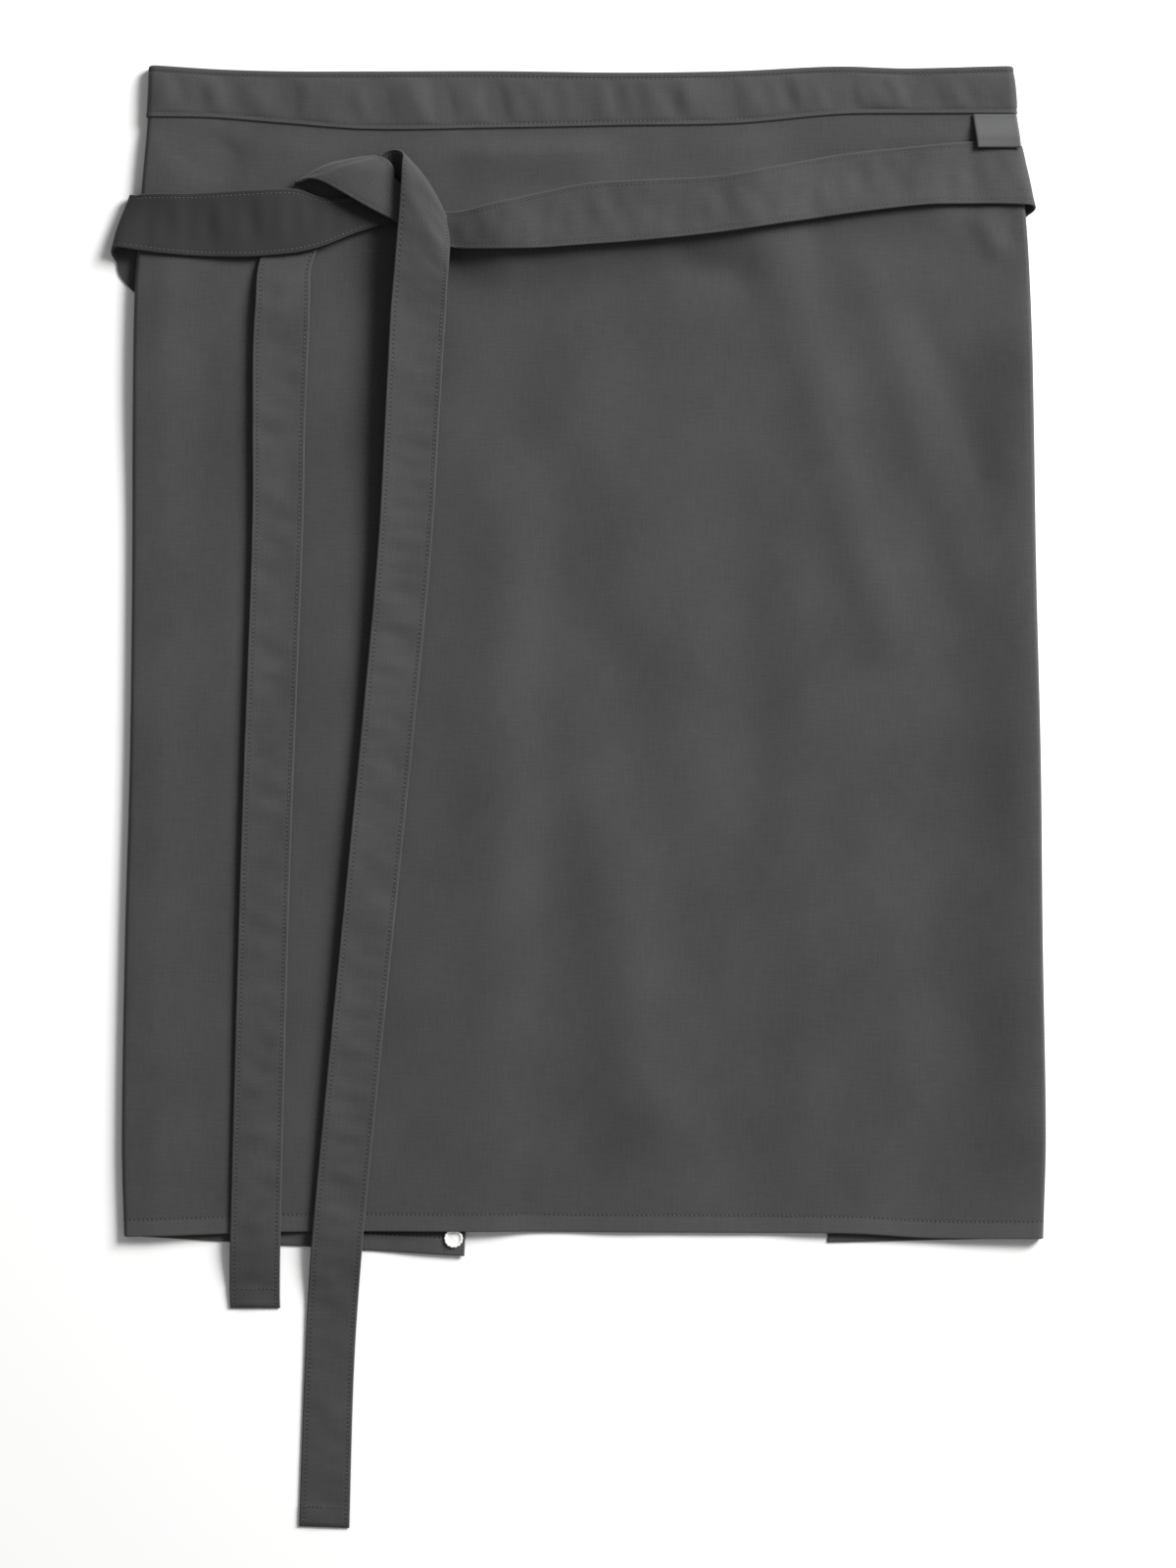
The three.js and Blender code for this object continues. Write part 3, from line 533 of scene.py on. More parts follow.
def tube_faces(rings, sides):
    """The quads between rings of points and the triangles that close both ends. Points are numbered
    ring by ring, and then come the first end's middle and the last end's."""
    a = (np.arange(rings - 1)[:, None] * sides + np.arange(sides)).reshape(-1, 1)
    next_side = np.where(a % sides == sides - 1, a - sides + 1, a + 1)
    quads = np.hstack([a + sides, next_side + sides, next_side, a])
    i = np.arange(sides)
    start, end, top = rings * sides, rings * sides + 1, (rings - 1) * sides
    caps = np.vstack([
        np.stack([np.full(sides, start), i, (i + 1) % sides], -1),
        np.stack([np.full(sides, end), top + (i + 1) % sides, top + i], -1),
    ])
    return quads, caps


def cloth_skin(name, middle, over, under, weave, seam):
    """A sheet: middle + over along its normals is the face, middle - under the back. weave is the
    cloth's own place in metres, seam the distance from the nearest edges in millimetres."""
    normals = grid_normals(middle)
    skins = np.stack([middle + normals * over[..., None], middle - normals * under[..., None]])
    skins[..., 2] = np.maximum(skins[..., 2], CLOTH_OFF_FLOOR)
    weave, seam = (np.stack([values, values]) for values in (weave, seam))
    side = np.zeros_like(seam)
    side[0] = 1
    faces = skin_quads(*middle.shape[:2])
    piece = build(name, skins, [faces], [("weave", weave * MM), ("seam", seam), ("side", side)])
    return piece, *skins, normals


def rounded(distance, radius):
    """The half thickness at a distance from a rim, as a share: a quarter circle of that radius."""
    inside = np.clip(distance / radius, 0, 1)
    return np.maximum(np.sqrt(1 - (1 - inside) ** 2), 0.2)


# The panel of cloth, from the left wing's free edge round both folds to the right wing's
BAND_SHARES = np.linspace(0, 1, 4)
SKIRT_SHARES = np.concatenate([np.linspace(0, 0.04, 14)[1:], np.linspace(0.04, 1, 168)[1:-1]])
HEM_SHARES = 1 - np.array([11.5, 11.1, 9.6, 7.4, 5, 3, 1.6, 0.8, 0.3, 0]) / HEM_HEIGHT
FRONT_COLUMNS = 142
FOLD_STEPS = 12
LEFT_WING_COLUMNS = 34
RIGHT_WING_COLUMNS = 22
SIDE_HEM_STEPS = np.array([0, 0.3, 0.8, 1.6, 3, 6, 10, 12.6, 13.4, 13.9])


def row_depths(top, band, hem):
    """The depths of a column's rows: through the waistband, down the skirt, and through the hem."""
    top, band, hem = (np.asarray(v, float)[:, None] for v in (top, band, hem))
    inside = top + mix(BAND_CAP, band, BAND_SHARES)
    skirt = mix(top + band, hem - HEM_HEIGHT, SKIRT_SHARES)
    hemmed = hem - HEM_HEIGHT * (1 - HEM_SHARES)
    return np.concatenate([inside, skirt, hemmed], 1)


def front_part(across):
    """Columns of the front at shares of its width between the two fold lines."""
    top = read(EDGES, "across", across, "top") * APRON_HEIGHT
    band = read(EDGES, "across", across, "band") * BAND_HEIGHT
    hem = (1 + read(EDGES, "across", across, "hem")) * APRON_HEIGHT
    down = row_depths(top, band, hem)
    x = mix(fold_line(-1, down), fold_line(1, down), across[:, None])
    return np.stack([x, down, front_height(x, down)], -1)


def wing_part(wing, share):
    """Columns of a wing at shares of the way from its fold to its free edge. Depths are mixed
    between the fold's rows and the free edge's, which lie lower."""
    edge = float(wing["edge"])
    top = float(read(EDGES, "across", edge, "top")) * APRON_HEIGHT
    band = float(read(EDGES, "across", edge, "band")) * BAND_HEIGHT
    hem = (1 + float(read(EDGES, "across", edge, "hem"))) * APRON_HEIGHT
    free_top = top + wing["drop_top"] * APRON_HEIGHT
    free_hem = (1 + wing["drop_hem"]) * APRON_HEIGHT
    at_fold = row_depths([top], [band], [hem])
    at_edge = row_depths([free_top], [BAND_HEIGHT], [free_hem])
    share = share[:, None]
    x = mix(fold_line(wing["side"], at_fold), wing_edge(wing, at_edge), share)
    down = mix(at_fold, at_edge, share)
    mouth = mix(top + band, free_top + BAND_HEIGHT, share)
    z = over_stud(wing_height(down, mouth), x, down, STUD_SEAT)
    return np.stack([x, down, z], -1)


def fold_part(wing):
    """The roll of a folded side, half an ellipse from the wing up to the front: the fold line moved
    out by r sin(t) and up by half the step between the two times 1 - cos(t)."""
    inner = wing_part(wing, np.zeros(1))
    outer = front_part(np.full(1, float(wing["edge"])))
    turn = np.pi * np.arange(1, FOLD_STEPS)[:, None, None] / FOLD_STEPS
    out = np.array([wing["side"] * FOLD_RADIUS, 0, 0])
    return mix(inner, outer, (1 - np.cos(turn)) / 2) + out * np.sin(turn)


def wing_shares(wing, columns):
    """From the free edge, over the side hem's steps, evenly to the fold."""
    hemmed = 1 - SIDE_HEM_STEPS / wing["width"]
    return np.concatenate([hemmed, np.linspace(hemmed[-1], 0, columns)[1:]])


def cloth_middle():
    """The middle surface of the whole cloth, and how far each column lies from the left wing's free
    edge along the hem."""
    left = wing_part(LEFT_WING, wing_shares(LEFT_WING, LEFT_WING_COLUMNS))
    right = wing_part(RIGHT_WING, wing_shares(RIGHT_WING, RIGHT_WING_COLUMNS))[::-1]
    front = front_part(np.linspace(0, 1, FRONT_COLUMNS))
    middle = np.concatenate([left, fold_part(LEFT_WING), front, fold_part(RIGHT_WING)[::-1], right])
    return middle, lengths(middle[:, -1])


def make_panel(middle, across):
    """The cloth and its seam map: across and down from the nearest free edges."""
    down = middle[..., 1]
    from_hem = down[:, -1:] - down
    from_side = np.minimum(across, across[-1] - across)[:, None] + 0 * down
    hemmed = np.maximum(smooth((HEM_HEIGHT - from_hem) / 0.4), smooth((SIDE_HEM - from_side) / 0.5))
    hemmed = hemmed * (down > band_mouth(0.5))
    round_rim = rounded(from_hem, RIM) * rounded(from_side, RIM)
    over = CLOTH / 2 * round_rim
    under = (CLOTH / 2 + HEM_PLY * hemmed) * round_rim
    weave = np.stack([across[:, None] + 0 * down, down], -1)
    seam = np.stack([from_side, from_hem], -1)
    return cloth_skin("apron_cloth", middle, over, under, weave, seam)


# The waistband, one strip folded over the cloth's top edge
BAND_COLUMNS = 440
BAND_FROM_EDGE = np.array([0, 0.3, 0.8, 1.5, 2.2, 3, 3.8, 4.8, 6.2])
BAND_BETWEEN = np.linspace(0, 1, 12)[1:-1]
ROLL_STEPS = 8


def band_puckers(along, share):
    """The cloth's ease between the two stitch lines: upright lumps and hollows that lean a little,
    deepest half way, from ripples along the band whose depth itself comes and goes."""
    lean = along + 4 * (share - 0.5)
    lumps = ripples(lean, 5 * share, 21, 50, 20)
    fine = ripples(lean, 9 * share, 22, 18, 10)
    puckers = PUCKER_EASE + PUCKER_DEPTH * lumps + FINE_PUCKER * fine
    return puckers * np.sin(np.pi * np.clip(share, 0, 1)) ** 0.8


def make_band(cloth):
    """The waistband follows the cloth's rows inside it. Its section runs from the lower edge of the
    front ply up its face, round the top by a half circle and down the back ply."""
    count = len(BAND_SHARES)
    across = np.linspace(0, len(cloth) - 1, BAND_COLUMNS)
    near = np.clip(across.astype(int), 0, len(cloth) - 2)
    part = (across - near)[:, None]
    top = mix(cloth[near, 0], cloth[near + 1, 0], part)
    mouth = mix(cloth[near, count - 1], cloth[near + 1, count - 1], part)
    down = unit(mouth - top)
    depth = np.linalg.norm(mouth - top, axis=-1, keepdims=True)
    out = unit(np.cross(np.gradient(top, axis=0), down))
    radius = (BAND_THICKNESS - BAND_PLY) / 2
    centre = BAND_THICKNESS / 2 - BAND_CAP
    straight = depth - centre
    low = BAND_FROM_EDGE + 0 * depth
    high = straight - BAND_FROM_EDGE[::-1]
    between = mix(low[:, -1:], high[:, :1], BAND_BETWEEN)
    rise = np.concatenate([low, between, high], 1)
    roll = np.pi * np.arange(1, ROLL_STEPS) / ROLL_STEPS
    over_top = centre - radius * np.sin(roll) + 0 * depth
    below = np.concatenate([depth - rise, over_top, (depth - rise)[:, ::-1]], 1)
    away = np.concatenate([radius + 0 * rise, radius * np.cos(roll) + 0 * depth, -radius + 0 * rise], 1)
    along = lengths((top + mouth) / 2)
    share = (rise - STITCH_INSET) / (straight - 2 * STITCH_INSET)
    pucker = band_puckers(along[:, None], share)
    seams = bell((rise - STITCH_INSET) / 1.1) + bell((straight - rise - STITCH_INSET) / 1.1)
    lift = np.maximum(pucker - BAND_DRAWN * seams, DEEPEST_PUCKER)
    away = away + np.concatenate([lift, np.zeros((len(along), ROLL_STEPS - 1)), -lift[:, ::-1]], 1)
    middle = top[:, None] + down[:, None] * below[..., None] + out[:, None] * away[..., None]
    from_low = np.concatenate([rise, straight + 0 * roll, rise[:, ::-1]], 1)
    from_edge = np.minimum(from_low, straight + 1 - from_low)
    from_end = np.minimum(along, along[-1] - along)[:, None] + 0 * below
    half = BAND_PLY / 2 * rounded(from_low, THIN_RIM) * rounded(from_end, THIN_RIM)
    round_section = np.concatenate([rise, straight + radius * roll, straight + np.pi * radius + rise], 1)
    weave = np.stack([along[:, None] + 0 * below, round_section], -1)
    seam = np.stack([from_end, from_edge], -1)
    return cloth_skin("waistband_strip", middle, half, half, weave, seam)


# The ties: a strip carried along a path of laid stations
STATION_STEP = 2
TURN_STEPS = 14
SOFTNESS = 4
TIE_ACROSS = np.array([0, 0.25, 0.7, 1.4, 2.2, 3, 3.8, 5])
TIE_BETWEEN = np.linspace(0, 1, 14)[1:-1]
GROUND_SHARES = np.linspace(-1, 1, 9)


def front_top(x, down):
    """What a tie lies on: the face of the front, and past the hem the floor."""
    inside = np.clip(x, fold_line(-1, down), fold_line(1, down))
    on_cloth = front_height(inside, np.minimum(down, APRON_HEIGHT)) + CLOTH / 2
    return (on_cloth + TIE_EASE) * (1 - smooth((down - APRON_HEIGHT) / HEM_FALL))


def on_the_floor(x, down):
    """What a tie lies on behind the cloth."""
    return np.full(np.broadcast(x, down).shape, -CLEARANCE)


def stations(x, down, rows, width):
    """Stations from a table: x, down, lean, half width, layers and the rise of both edges."""
    half = rows["wide"] * width / 2
    heights = [rows["over"], rows["rise"], rows["other"]]
    return np.stack([x, down, np.radians(rows["lean"]), half, *heights], -1)


def flat_stations(rows):
    """Stations from a table measured over the front."""
    return stations(rows["across"] * FRONT_WIDTH, rows["down"] * KNOT_DROP, rows, TIE_WIDTH)


def knot_stations(rows):
    """Stations from a table measured from the knot's middle."""
    x = KNOT_ACROSS * FRONT_WIDTH + rows["right"] * TIE_WIDTH
    return stations(x, KNOT_DROP + rows["below"] * TIE_WIDTH, rows, TIE_WIDTH)


def tail_stations(rows, length):
    """Stations from a table measured down a tail."""
    down = KNOT_TOP + rows["drop"] * length
    return stations(rows["across"] * FRONT_WIDTH, down, rows, TIE_TIP_WIDTH)


def lay(places, ground, start=None):
    """The head, the middle and the foot line of a run of tie: stations joined by cubics through
    their neighbours, at the height of the highest ground under the cross line, half a tie and the
    layers below. start is the ground's own height at the first station, where it isn't the given."""
    last = len(places) - 1
    gap = np.hypot(*np.diff(places[:, :2], axis=0).T)
    steps = np.maximum(2, np.ceil(gap / STATION_STEP)).astype(int)
    k = np.append(np.repeat(np.arange(last), steps), last - 1)
    t = np.append(np.concatenate([np.arange(s) / s for s in steps]), 1)[:, None]
    before, a, b, after = (places[np.clip(k + i, 0, last)] for i in (-1, 0, 1, 2))
    x, down, lean, half, over, rise, other = cubic((b - before) / 2, a, b, (after - a) / 2, t).T
    cross = np.stack([-np.sin(lean), -np.cos(lean)], -1)
    reach = GROUND_SHARES[:, None] * half
    below = ground(x + cross[:, 0] * reach, down + cross[:, 1] * reach).max(0)
    if start is not None:
        below = np.where(k == 0, mix(start, below, t[:, 0]), below)
    height = below + CLEARANCE + TIE_THICKNESS / 2 + np.maximum(over, 0) * LAYER
    middle = np.stack([x, down, height], -1)
    head = middle + np.column_stack([cross * half[:, None], rise])
    foot = middle + np.column_stack([-cross * half[:, None], other])
    return head, middle, foot


def turn_over(run, following, reaches):
    """The turn between the end of a run and the start of the one over or under it: each line
    goes from one to the other by half a cosine, and out by its reach times a sine."""
    across = (run[0][-1] - run[2][-1])[:2]
    travel = (run[1][-1] - run[1][-3])[:2]
    outward = np.append(unit(travel - (travel @ across) * across / (across @ across)), 0)
    t = np.pi * np.arange(1, TURN_STEPS)[:, None] / TURN_STEPS
    return [
        mix(line[-1], after[0], (1 - np.cos(t)) / 2) + outward * reach * np.sin(t)
        for line, after, reach in zip(run, following, reaches)
    ]


def join(runs, turns):
    """Runs and the turns between them as three lines."""
    parts = [runs[0]]
    for following, reaches in zip(runs[1:], turns):
        parts += [turn_over(parts[-1], following, reaches), following]
    return [np.concatenate(v) for v in zip(*parts)]


def softened(line):
    """A line whose points are averaged along it with a bell's weights; its ends stay."""
    reach = round(2.5 * SOFTNESS / STATION_STEP)
    weights = bell(np.arange(-reach, reach + 1) * STATION_STEP / SOFTNESS)
    head = 2 * line[0] - line[reach:0:-1]
    foot = 2 * line[-1] - line[-2 : -reach - 2 : -1]
    longer = np.concatenate([head, line, foot])
    total = sum(weight * longer[k : k + len(line)] for k, weight in enumerate(weights))
    return total / weights.sum()


def even(lines):
    """The three lines read again at an even step along the middle one."""
    along = lengths(lines[1])
    at = np.linspace(0, along[-1], round(along[-1] / STATION_STEP) + 1)
    return [interpolated(line, along, at) for line in lines]


def make_tie(name, runs, turns, seed):
    """A flat tube of cloth between two edge lines and a middle line, all softened: a point across it
    is C + w (L - R) / 2 + w^2 ((L + R) / 2 - C) for w from 1 at the left edge L to -1 at the right R.
    It is drawn in at the stitch line inside each long edge, a little full between them, thicker
    over its turned end, and has soft ripples across it."""
    left, path, right = (softened(line) for line in even(join(runs, turns)))
    from_tip = lengths(path)[-1] - lengths(path)
    half = np.linalg.norm(left - right, axis=-1) / 2 + 0.4 * smooth((TIE_END - from_tip) / 1.2)
    inner = TIE_ACROSS[-1]
    near = TIE_ACROSS + 0 * half[:, None]
    between = mix(inner, 2 * half[:, None] - inner, TIE_BETWEEN)
    place = np.concatenate([near, between, 2 * half[:, None] - near[:, ::-1]], 1)
    w = (1 - place / half[:, None])[..., None]
    left, centre, right = left[:, None], path[:, None], right[:, None]
    middle = centre + w * (left - right) / 2 + w * w * ((left + right) / 2 - centre)
    from_edge = np.minimum(place, 2 * half[:, None] - place)
    share = place / (2 * half[:, None])
    tip_distance = from_tip[:, None] + 0 * place
    fullness = TIE_FULLNESS * np.sin(np.pi * share) ** 2
    drawn = TIE_DRAWN * bell((from_edge - STITCH_INSET) / 0.9)
    drawn = drawn + TIE_DRAWN * bell((tip_distance - TIE_END_SEAM) / 0.9)
    soft = ripples(tip_distance, 0.45 * place, seed, 52, 13) * np.sin(np.pi * share) ** 0.7
    tip = TIE_END_PLY / 2 * smooth((TIE_END - tip_distance) / 0.8)
    round_rim = rounded(from_edge, RIM) * rounded(tip_distance, RIM)
    over = (TIE_THICKNESS / 2 + fullness + TIE_RIPPLE * soft + tip - drawn) * round_rim
    under = (TIE_THICKNESS / 2 + fullness - TIE_RIPPLE * soft + tip - drawn) * round_rim
    weave = np.stack([place, tip_distance], -1)
    seam = np.stack([tip_distance, from_edge], -1)
    return cloth_skin(name, middle, over, under, weave, seam)


def band_end(wing):
    """The station where a tie leaves the end of the waistband on a wing, and its ground."""
    column = wing_part(wing, np.ones(1))[0]
    top, mouth = column[0], column[len(BAND_SHARES) - 1]
    x, down = ((top + mouth) / 2)[:2]
    lean = math.atan2(mouth[0] - top[0], mouth[1] - top[1])
    half = (np.linalg.norm(mouth - top) + BAND_CAP) / 2
    ground = BAND_THICKNESS / 2 - TIE_THICKNESS / 2 - CLEARANCE
    return [x - wing["side"] * CLEARANCE, down, lean, half, 0, 0, 0], ground


def left_tie():
    """Behind from the right wing's end, over the left side, under the other tie, up and over the
    knot, and down as the long tail."""
    start, ground = band_end(RIGHT_WING)
    behind = lay(np.vstack([start, flat_stations(LEFT_BEHIND)]), on_the_floor, ground)
    in_front = lay(np.vstack([flat_stations(LEFT_IN_FRONT), knot_stations(LEFT_KNOT)]), front_top)
    hanging = tail_stations(LONG_TAIL_ROWS, LONG_TAIL)
    tail = lay(np.vstack([knot_stations(LONG_TAIL_TOP), hanging]), front_top)
    return make_tie("tie_from_left", [behind, in_front, tail], [LEFT_SIDE_TURN, LONG_TAIL_TURN], 31)


def right_tie():
    """Behind from the left wing's end, over the right side, through the knot as its flap, and down
    behind it as the short tail."""
    start, ground = band_end(LEFT_WING)
    behind = lay(np.vstack([start, flat_stations(RIGHT_BEHIND)]), on_the_floor, ground)
    in_front = lay(np.vstack([flat_stations(RIGHT_IN_FRONT), knot_stations(RIGHT_KNOT)]), front_top)
    hanging = tail_stations(SHORT_TAIL_ROWS, SHORT_TAIL)
    tail = lay(np.vstack([knot_stations(SHORT_TAIL_TOP), hanging]), front_top)
    return make_tie("tie_from_right", [behind, in_front, tail], [RIGHT_SIDE_TURN, SHORT_TAIL_TURN], 32)


# The label, a short doubled tape
LABEL_STEPS = 28
LABEL_COLUMNS = 30
LABEL_LIFT = 1
LABEL_LEAN = 2.8
LABEL_CURL = 1


def make_label():
    """A tape that leaves the waistband's lower seam and rises over the tie below it: its height is
    a smooth step along its length, its lower end a fold."""
    mouth = float(band_mouth(1.0))
    right = float(fold_line(1, mouth)) + FOLD_RADIUS + CLOTH / 2 + CLEARANCE
    start = float(band_mouth(LABEL_ACROSS)) + 2 * CLEARANCE
    first = float(front_top(right, start)) + CLEARANCE - TIE_EASE
    last = float(front_top(right, start + BAND_RELEASE + BAND_LEAD)) + LAYER + LABEL_LIFT
    t = np.linspace(0, 1, LABEL_STEPS)[:, None]
    share = np.linspace(0, 1, LABEL_COLUMNS)
    x = right - LABEL_WIDTH * (1 - share) + LABEL_LEAN * t
    down = start + t * LABEL_LENGTH + 0 * share
    curl = LABEL_CURL * t**2 * (1 - share) ** 2
    z = mix(first, last, smooth(LABEL_RISE * t)) + LABEL_THICKNESS / 2 + curl
    middle = np.stack([x, down, z + 0 * x], -1)
    from_side = np.minimum(share, 1 - share) * LABEL_WIDTH + 0 * t
    from_end = (1 - t) * LABEL_LENGTH + 0 * share
    half = LABEL_THICKNESS / 2 * rounded(from_side, THIN_RIM) * rounded(from_end, THIN_RIM)
    weave = np.stack([x, down], -1)
    return cloth_skin("label_tape", middle, half, half, weave, np.stack([from_end, from_side], -1))


# Stitching: many short threads joined into one mesh for each seam
THREAD_SIDES = 6
THREAD_RINGS = np.array([-1, -0.7, 0, 0.7, 1])
THREAD_DIP = 1.4
THREAD_RAISED = 0.15


def thread_template():
    """One stitch along its own length: rings of a round thread that dips at both ends, with a point
    closing each end. Columns are along, aside and up, in shares of half a stitch and of a radius."""
    turn = 2 * np.pi * np.arange(THREAD_SIDES) / THREAD_SIDES
    ring = np.sqrt(np.clip(1 - THREAD_RINGS**4, 0.1, 1))[:, None]
    along = THREAD_RINGS[:, None] + 0 * turn
    aside = ring * np.cos(turn)
    up = ring * np.sin(turn) - THREAD_DIP * THREAD_RINGS[:, None] ** 4
    points = np.stack([along, aside, up], -1).reshape(-1, 3)
    points = np.vstack([points, [-1.12, 0, -1.5], [1.12, 0, -1.5]])
    return points, *tube_faces(len(THREAD_RINGS), THREAD_SIDES)


THREAD_POINTS, THREAD_QUADS, THREAD_CAPS = thread_template()


def seam_threads(line, normals, along):
    """Stitches at an even pitch along a line on the cloth, whose points have the distances along
    from the seam's start. Each is the template turned to the line's direction and the normal there."""
    at = np.arange(STITCH_PITCH / 2 + max(along[0], 0), along[-1], STITCH_PITCH)
    length, radius = STITCH_LENGTH / 2, THREAD / 2
    place = interpolated(line, along, at)
    ahead = unit(interpolated(line, along, at + length) - interpolated(line, along, at - length))
    up = unit(interpolated(normals, along, at))
    aside = np.cross(up, ahead)
    t = THREAD_POINTS
    return (
        place[:, None]
        + ahead[:, None] * t[:, :1] * length
        + aside[:, None] * t[:, 1:2] * radius
        + up[:, None] * (t[:, 2:] + THREAD_RAISED) * radius
    )


def make_threads(name, seams):
    """All stitches of one piece as one mesh, none of them lower than the floor."""
    points = np.concatenate(seams)
    points[..., 2] = np.maximum(points[..., 2], THREAD_OFF_FLOOR)
    count, size = points.shape[:2]
    start = (np.arange(count) * size)[:, None, None]
    quads = (THREAD_QUADS + start).reshape(-1, 4)
    caps = (THREAD_CAPS + start).reshape(-1, 3)
    return build(name, points, [quads, caps])


# The press stud, turned about its upright axis. The dish inside its ring is in shares of the cap's
# radius and height.
STUD_SIDES = 96
STUD_CRIMPS = 14
CRIMP_DEPTH = 0.02
STUD_DISH = table("radius height", (0.66, 0.42), (0.56, 0.32), (0.42, 0.36), (0.2, 0.42))


def turned(name, profile, crimps=0, depth=0.0):
    """A profile of radius and height turned about the stud's axis and closed by a point at each end.
    crimps is a number of scallops round it: the radius swells by depth times their cosine."""
    profile = np.array(profile, float)
    turn = 2 * np.pi * np.arange(STUD_SIDES) / STUD_SIDES
    radius, height = profile[1:-1, 0, None], profile[1:-1, 1, None]
    rim = smooth((radius / (STUD_DIAMETER / 2) - 0.72) / 0.2)
    wave = 1 + depth * np.cos(crimps * turn) * rim
    x = STUD_X + radius * wave * np.cos(turn)
    down = STUD_DOWN + radius * wave * np.sin(turn)
    z = height + 0.12 * np.cos(crimps * turn) * rim * (height > height.mean()) * (crimps > 0)
    points = np.stack([x, down, z], -1).reshape(-1, 3)
    ends = np.array([[STUD_X, STUD_DOWN, profile[0, 1]], [STUD_X, STUD_DOWN, profile[-1, 1]]])
    return build(name, np.vstack([points, ends]), tube_faces(len(profile) - 2, STUD_SIDES))


def make_stud():
    """The cap, a crimped ring round a dished middle, and the plain back with its post."""
    r, h, foot = STUD_DIAMETER / 2, STUD_CAP, STUD_FOOT
    bead = np.radians(np.linspace(-80, 190, 16))
    ring = np.stack([0.85 * r + 0.13 * r * np.cos(bead), foot + 0.55 * h + 0.42 * h * np.sin(bead)], -1)
    dish = np.stack([STUD_DISH["radius"] * r, foot + STUD_DISH["height"] * h], -1)
    profile = [(0, foot), (0.5 * r, foot), *ring, *dish, (0, foot + 0.44 * h)]
    cap = turned("stud_cap", profile, STUD_CRIMPS, CRIMP_DEPTH)
    post, top, half = STUD_POST / 2, foot - CLEARANCE, STUD_BACK / 2
    edge = np.radians(np.linspace(-90, 90, 9))
    rim = np.stack([0.9 * r + 0.1 * r * np.cos(edge), half + half * np.sin(edge)], -1)
    stem = [(post, STUD_BACK), (post, top - 0.1), (0.8 * post, top), (0, top)]
    back = turned("stud_back", [(0, 0), (0.5 * r, 0), *rim, *stem])
    return cap, back


# Finishes. Every pattern reads a piece's own maps, so it follows the cloth round its folds.
TWILL_DARK = (0.023, 0.023, 0.0235, 1)
TWILL_LIGHT = (0.061, 0.061, 0.062, 1)
THREAD_LIGHT = (0.13, 0.13, 0.132, 1)
NICKEL_DULL = (0.9, 0.895, 0.89, 1)
NICKEL_BRIGHT = (0.97, 0.965, 0.96, 1)
FLOOR_DARK = (0.85, 0.85, 0.845, 1)
FLOOR_LIGHT = (0.88, 0.88, 0.875, 1)
LABEL_DARK = (0.048, 0.0483, 0.0495, 1)
LABEL_LIGHT = (0.077, 0.0775, 0.079, 1)

# The twill's tones from 0 to 1: the cloth's and the waistband's, the painted shade that darkens the
# left tie's first side, and what the four speckles add up to on average
CLOTH_TONE = 0.5
BAND_TONE = 0.56
LEFT_TIE_PAINTED_SHADE = 0.62
SPECKLE_MEAN = 0.85


def put(tree, socket, value):
    """Links another node's output to a socket, or sets the socket's own value."""
    if isinstance(value, bpy.types.NodeSocket):
        tree.links.new(value, socket)
    else:
        socket.default_value = value


def maths(tree, operation, *values):
    """One Math node."""
    node = tree.nodes.new("ShaderNodeMath")
    node.operation = operation
    for socket, value in zip(node.inputs, values):
        put(tree, socket, value)
    return node.outputs[0]


def weighted(tree, *terms):
    """A sum of values, each times its weight."""
    total = 0.0
    for value, weight in terms:
        total = maths(tree, "MULTIPLY_ADD", value, weight, total)
    return total


def bell_of(tree, value, centre, width):
    """exp(-((value - centre) / width)^2)."""
    away = maths(tree, "MULTIPLY_ADD", value, 1 / width, -centre / width)
    return maths(tree, "EXPONENT", maths(tree, "MULTIPLY", maths(tree, "MULTIPLY", away, away), -1.0))


def map_of(tree, title):
    """A piece's own map."""
    node = tree.nodes.new("ShaderNodeUVMap")
    node.uv_map = title
    return node.outputs[0]


def parts_of(tree, vector):
    """The first two values of a vector."""
    node = tree.nodes.new("ShaderNodeSeparateXYZ")
    put(tree, node.inputs[0], vector)
    return node.outputs[0], node.outputs[1]


def speckle(tree, vector, across, along, detail=2.0):
    """Noise whose spots are across x along millimetres on the cloth, between 0 and 1."""
    node = tree.nodes.new("ShaderNodeVectorMath")
    node.operation = "MULTIPLY"
    put(tree, node.inputs[0], vector)
    node.inputs[1].default_value = (1 / (across * MM), 1 / (along * MM), 1)
    noise = tree.nodes.new("ShaderNodeTexNoise")
    put(tree, noise.inputs["Vector"], node.outputs[0])
    noise.inputs["Scale"].default_value = 1
    noise.inputs["Detail"].default_value = detail
    return noise.outputs["Fac"]


def stripes(tree, vector, across, along, pitch):
    """A sine across lines on the cloth: across and along are the line's normal, pitch its spacing."""
    size = math.hypot(across, along) * pitch * MM / (2 * math.pi)
    node = tree.nodes.new("ShaderNodeVectorMath")
    node.operation = "DOT_PRODUCT"
    put(tree, node.inputs[0], vector)
    node.inputs[1].default_value = (across / size, along / size, 0)
    return maths(tree, "SINE", node.outputs["Value"])


def finish_of(name, roughness, metallic=0.0):
    """A new material and its principled shader."""
    material = bpy.data.materials.new(name)
    material.use_nodes = True
    shader = material.node_tree.nodes["Principled BSDF"]
    shader.inputs["Roughness"].default_value = roughness
    shader.inputs["Metallic"].default_value = metallic
    return material, material.node_tree, shader


def bumped(tree, shader, height):
    """Gives a shader its relief from a height in millimetres."""
    bump = tree.nodes.new("ShaderNodeBump")
    bump.inputs["Distance"].default_value = MM
    bump.inputs["Strength"].default_value = 0.7
    put(tree, bump.inputs["Height"], height)
    tree.links.new(bump.outputs[0], shader.inputs["Normal"])


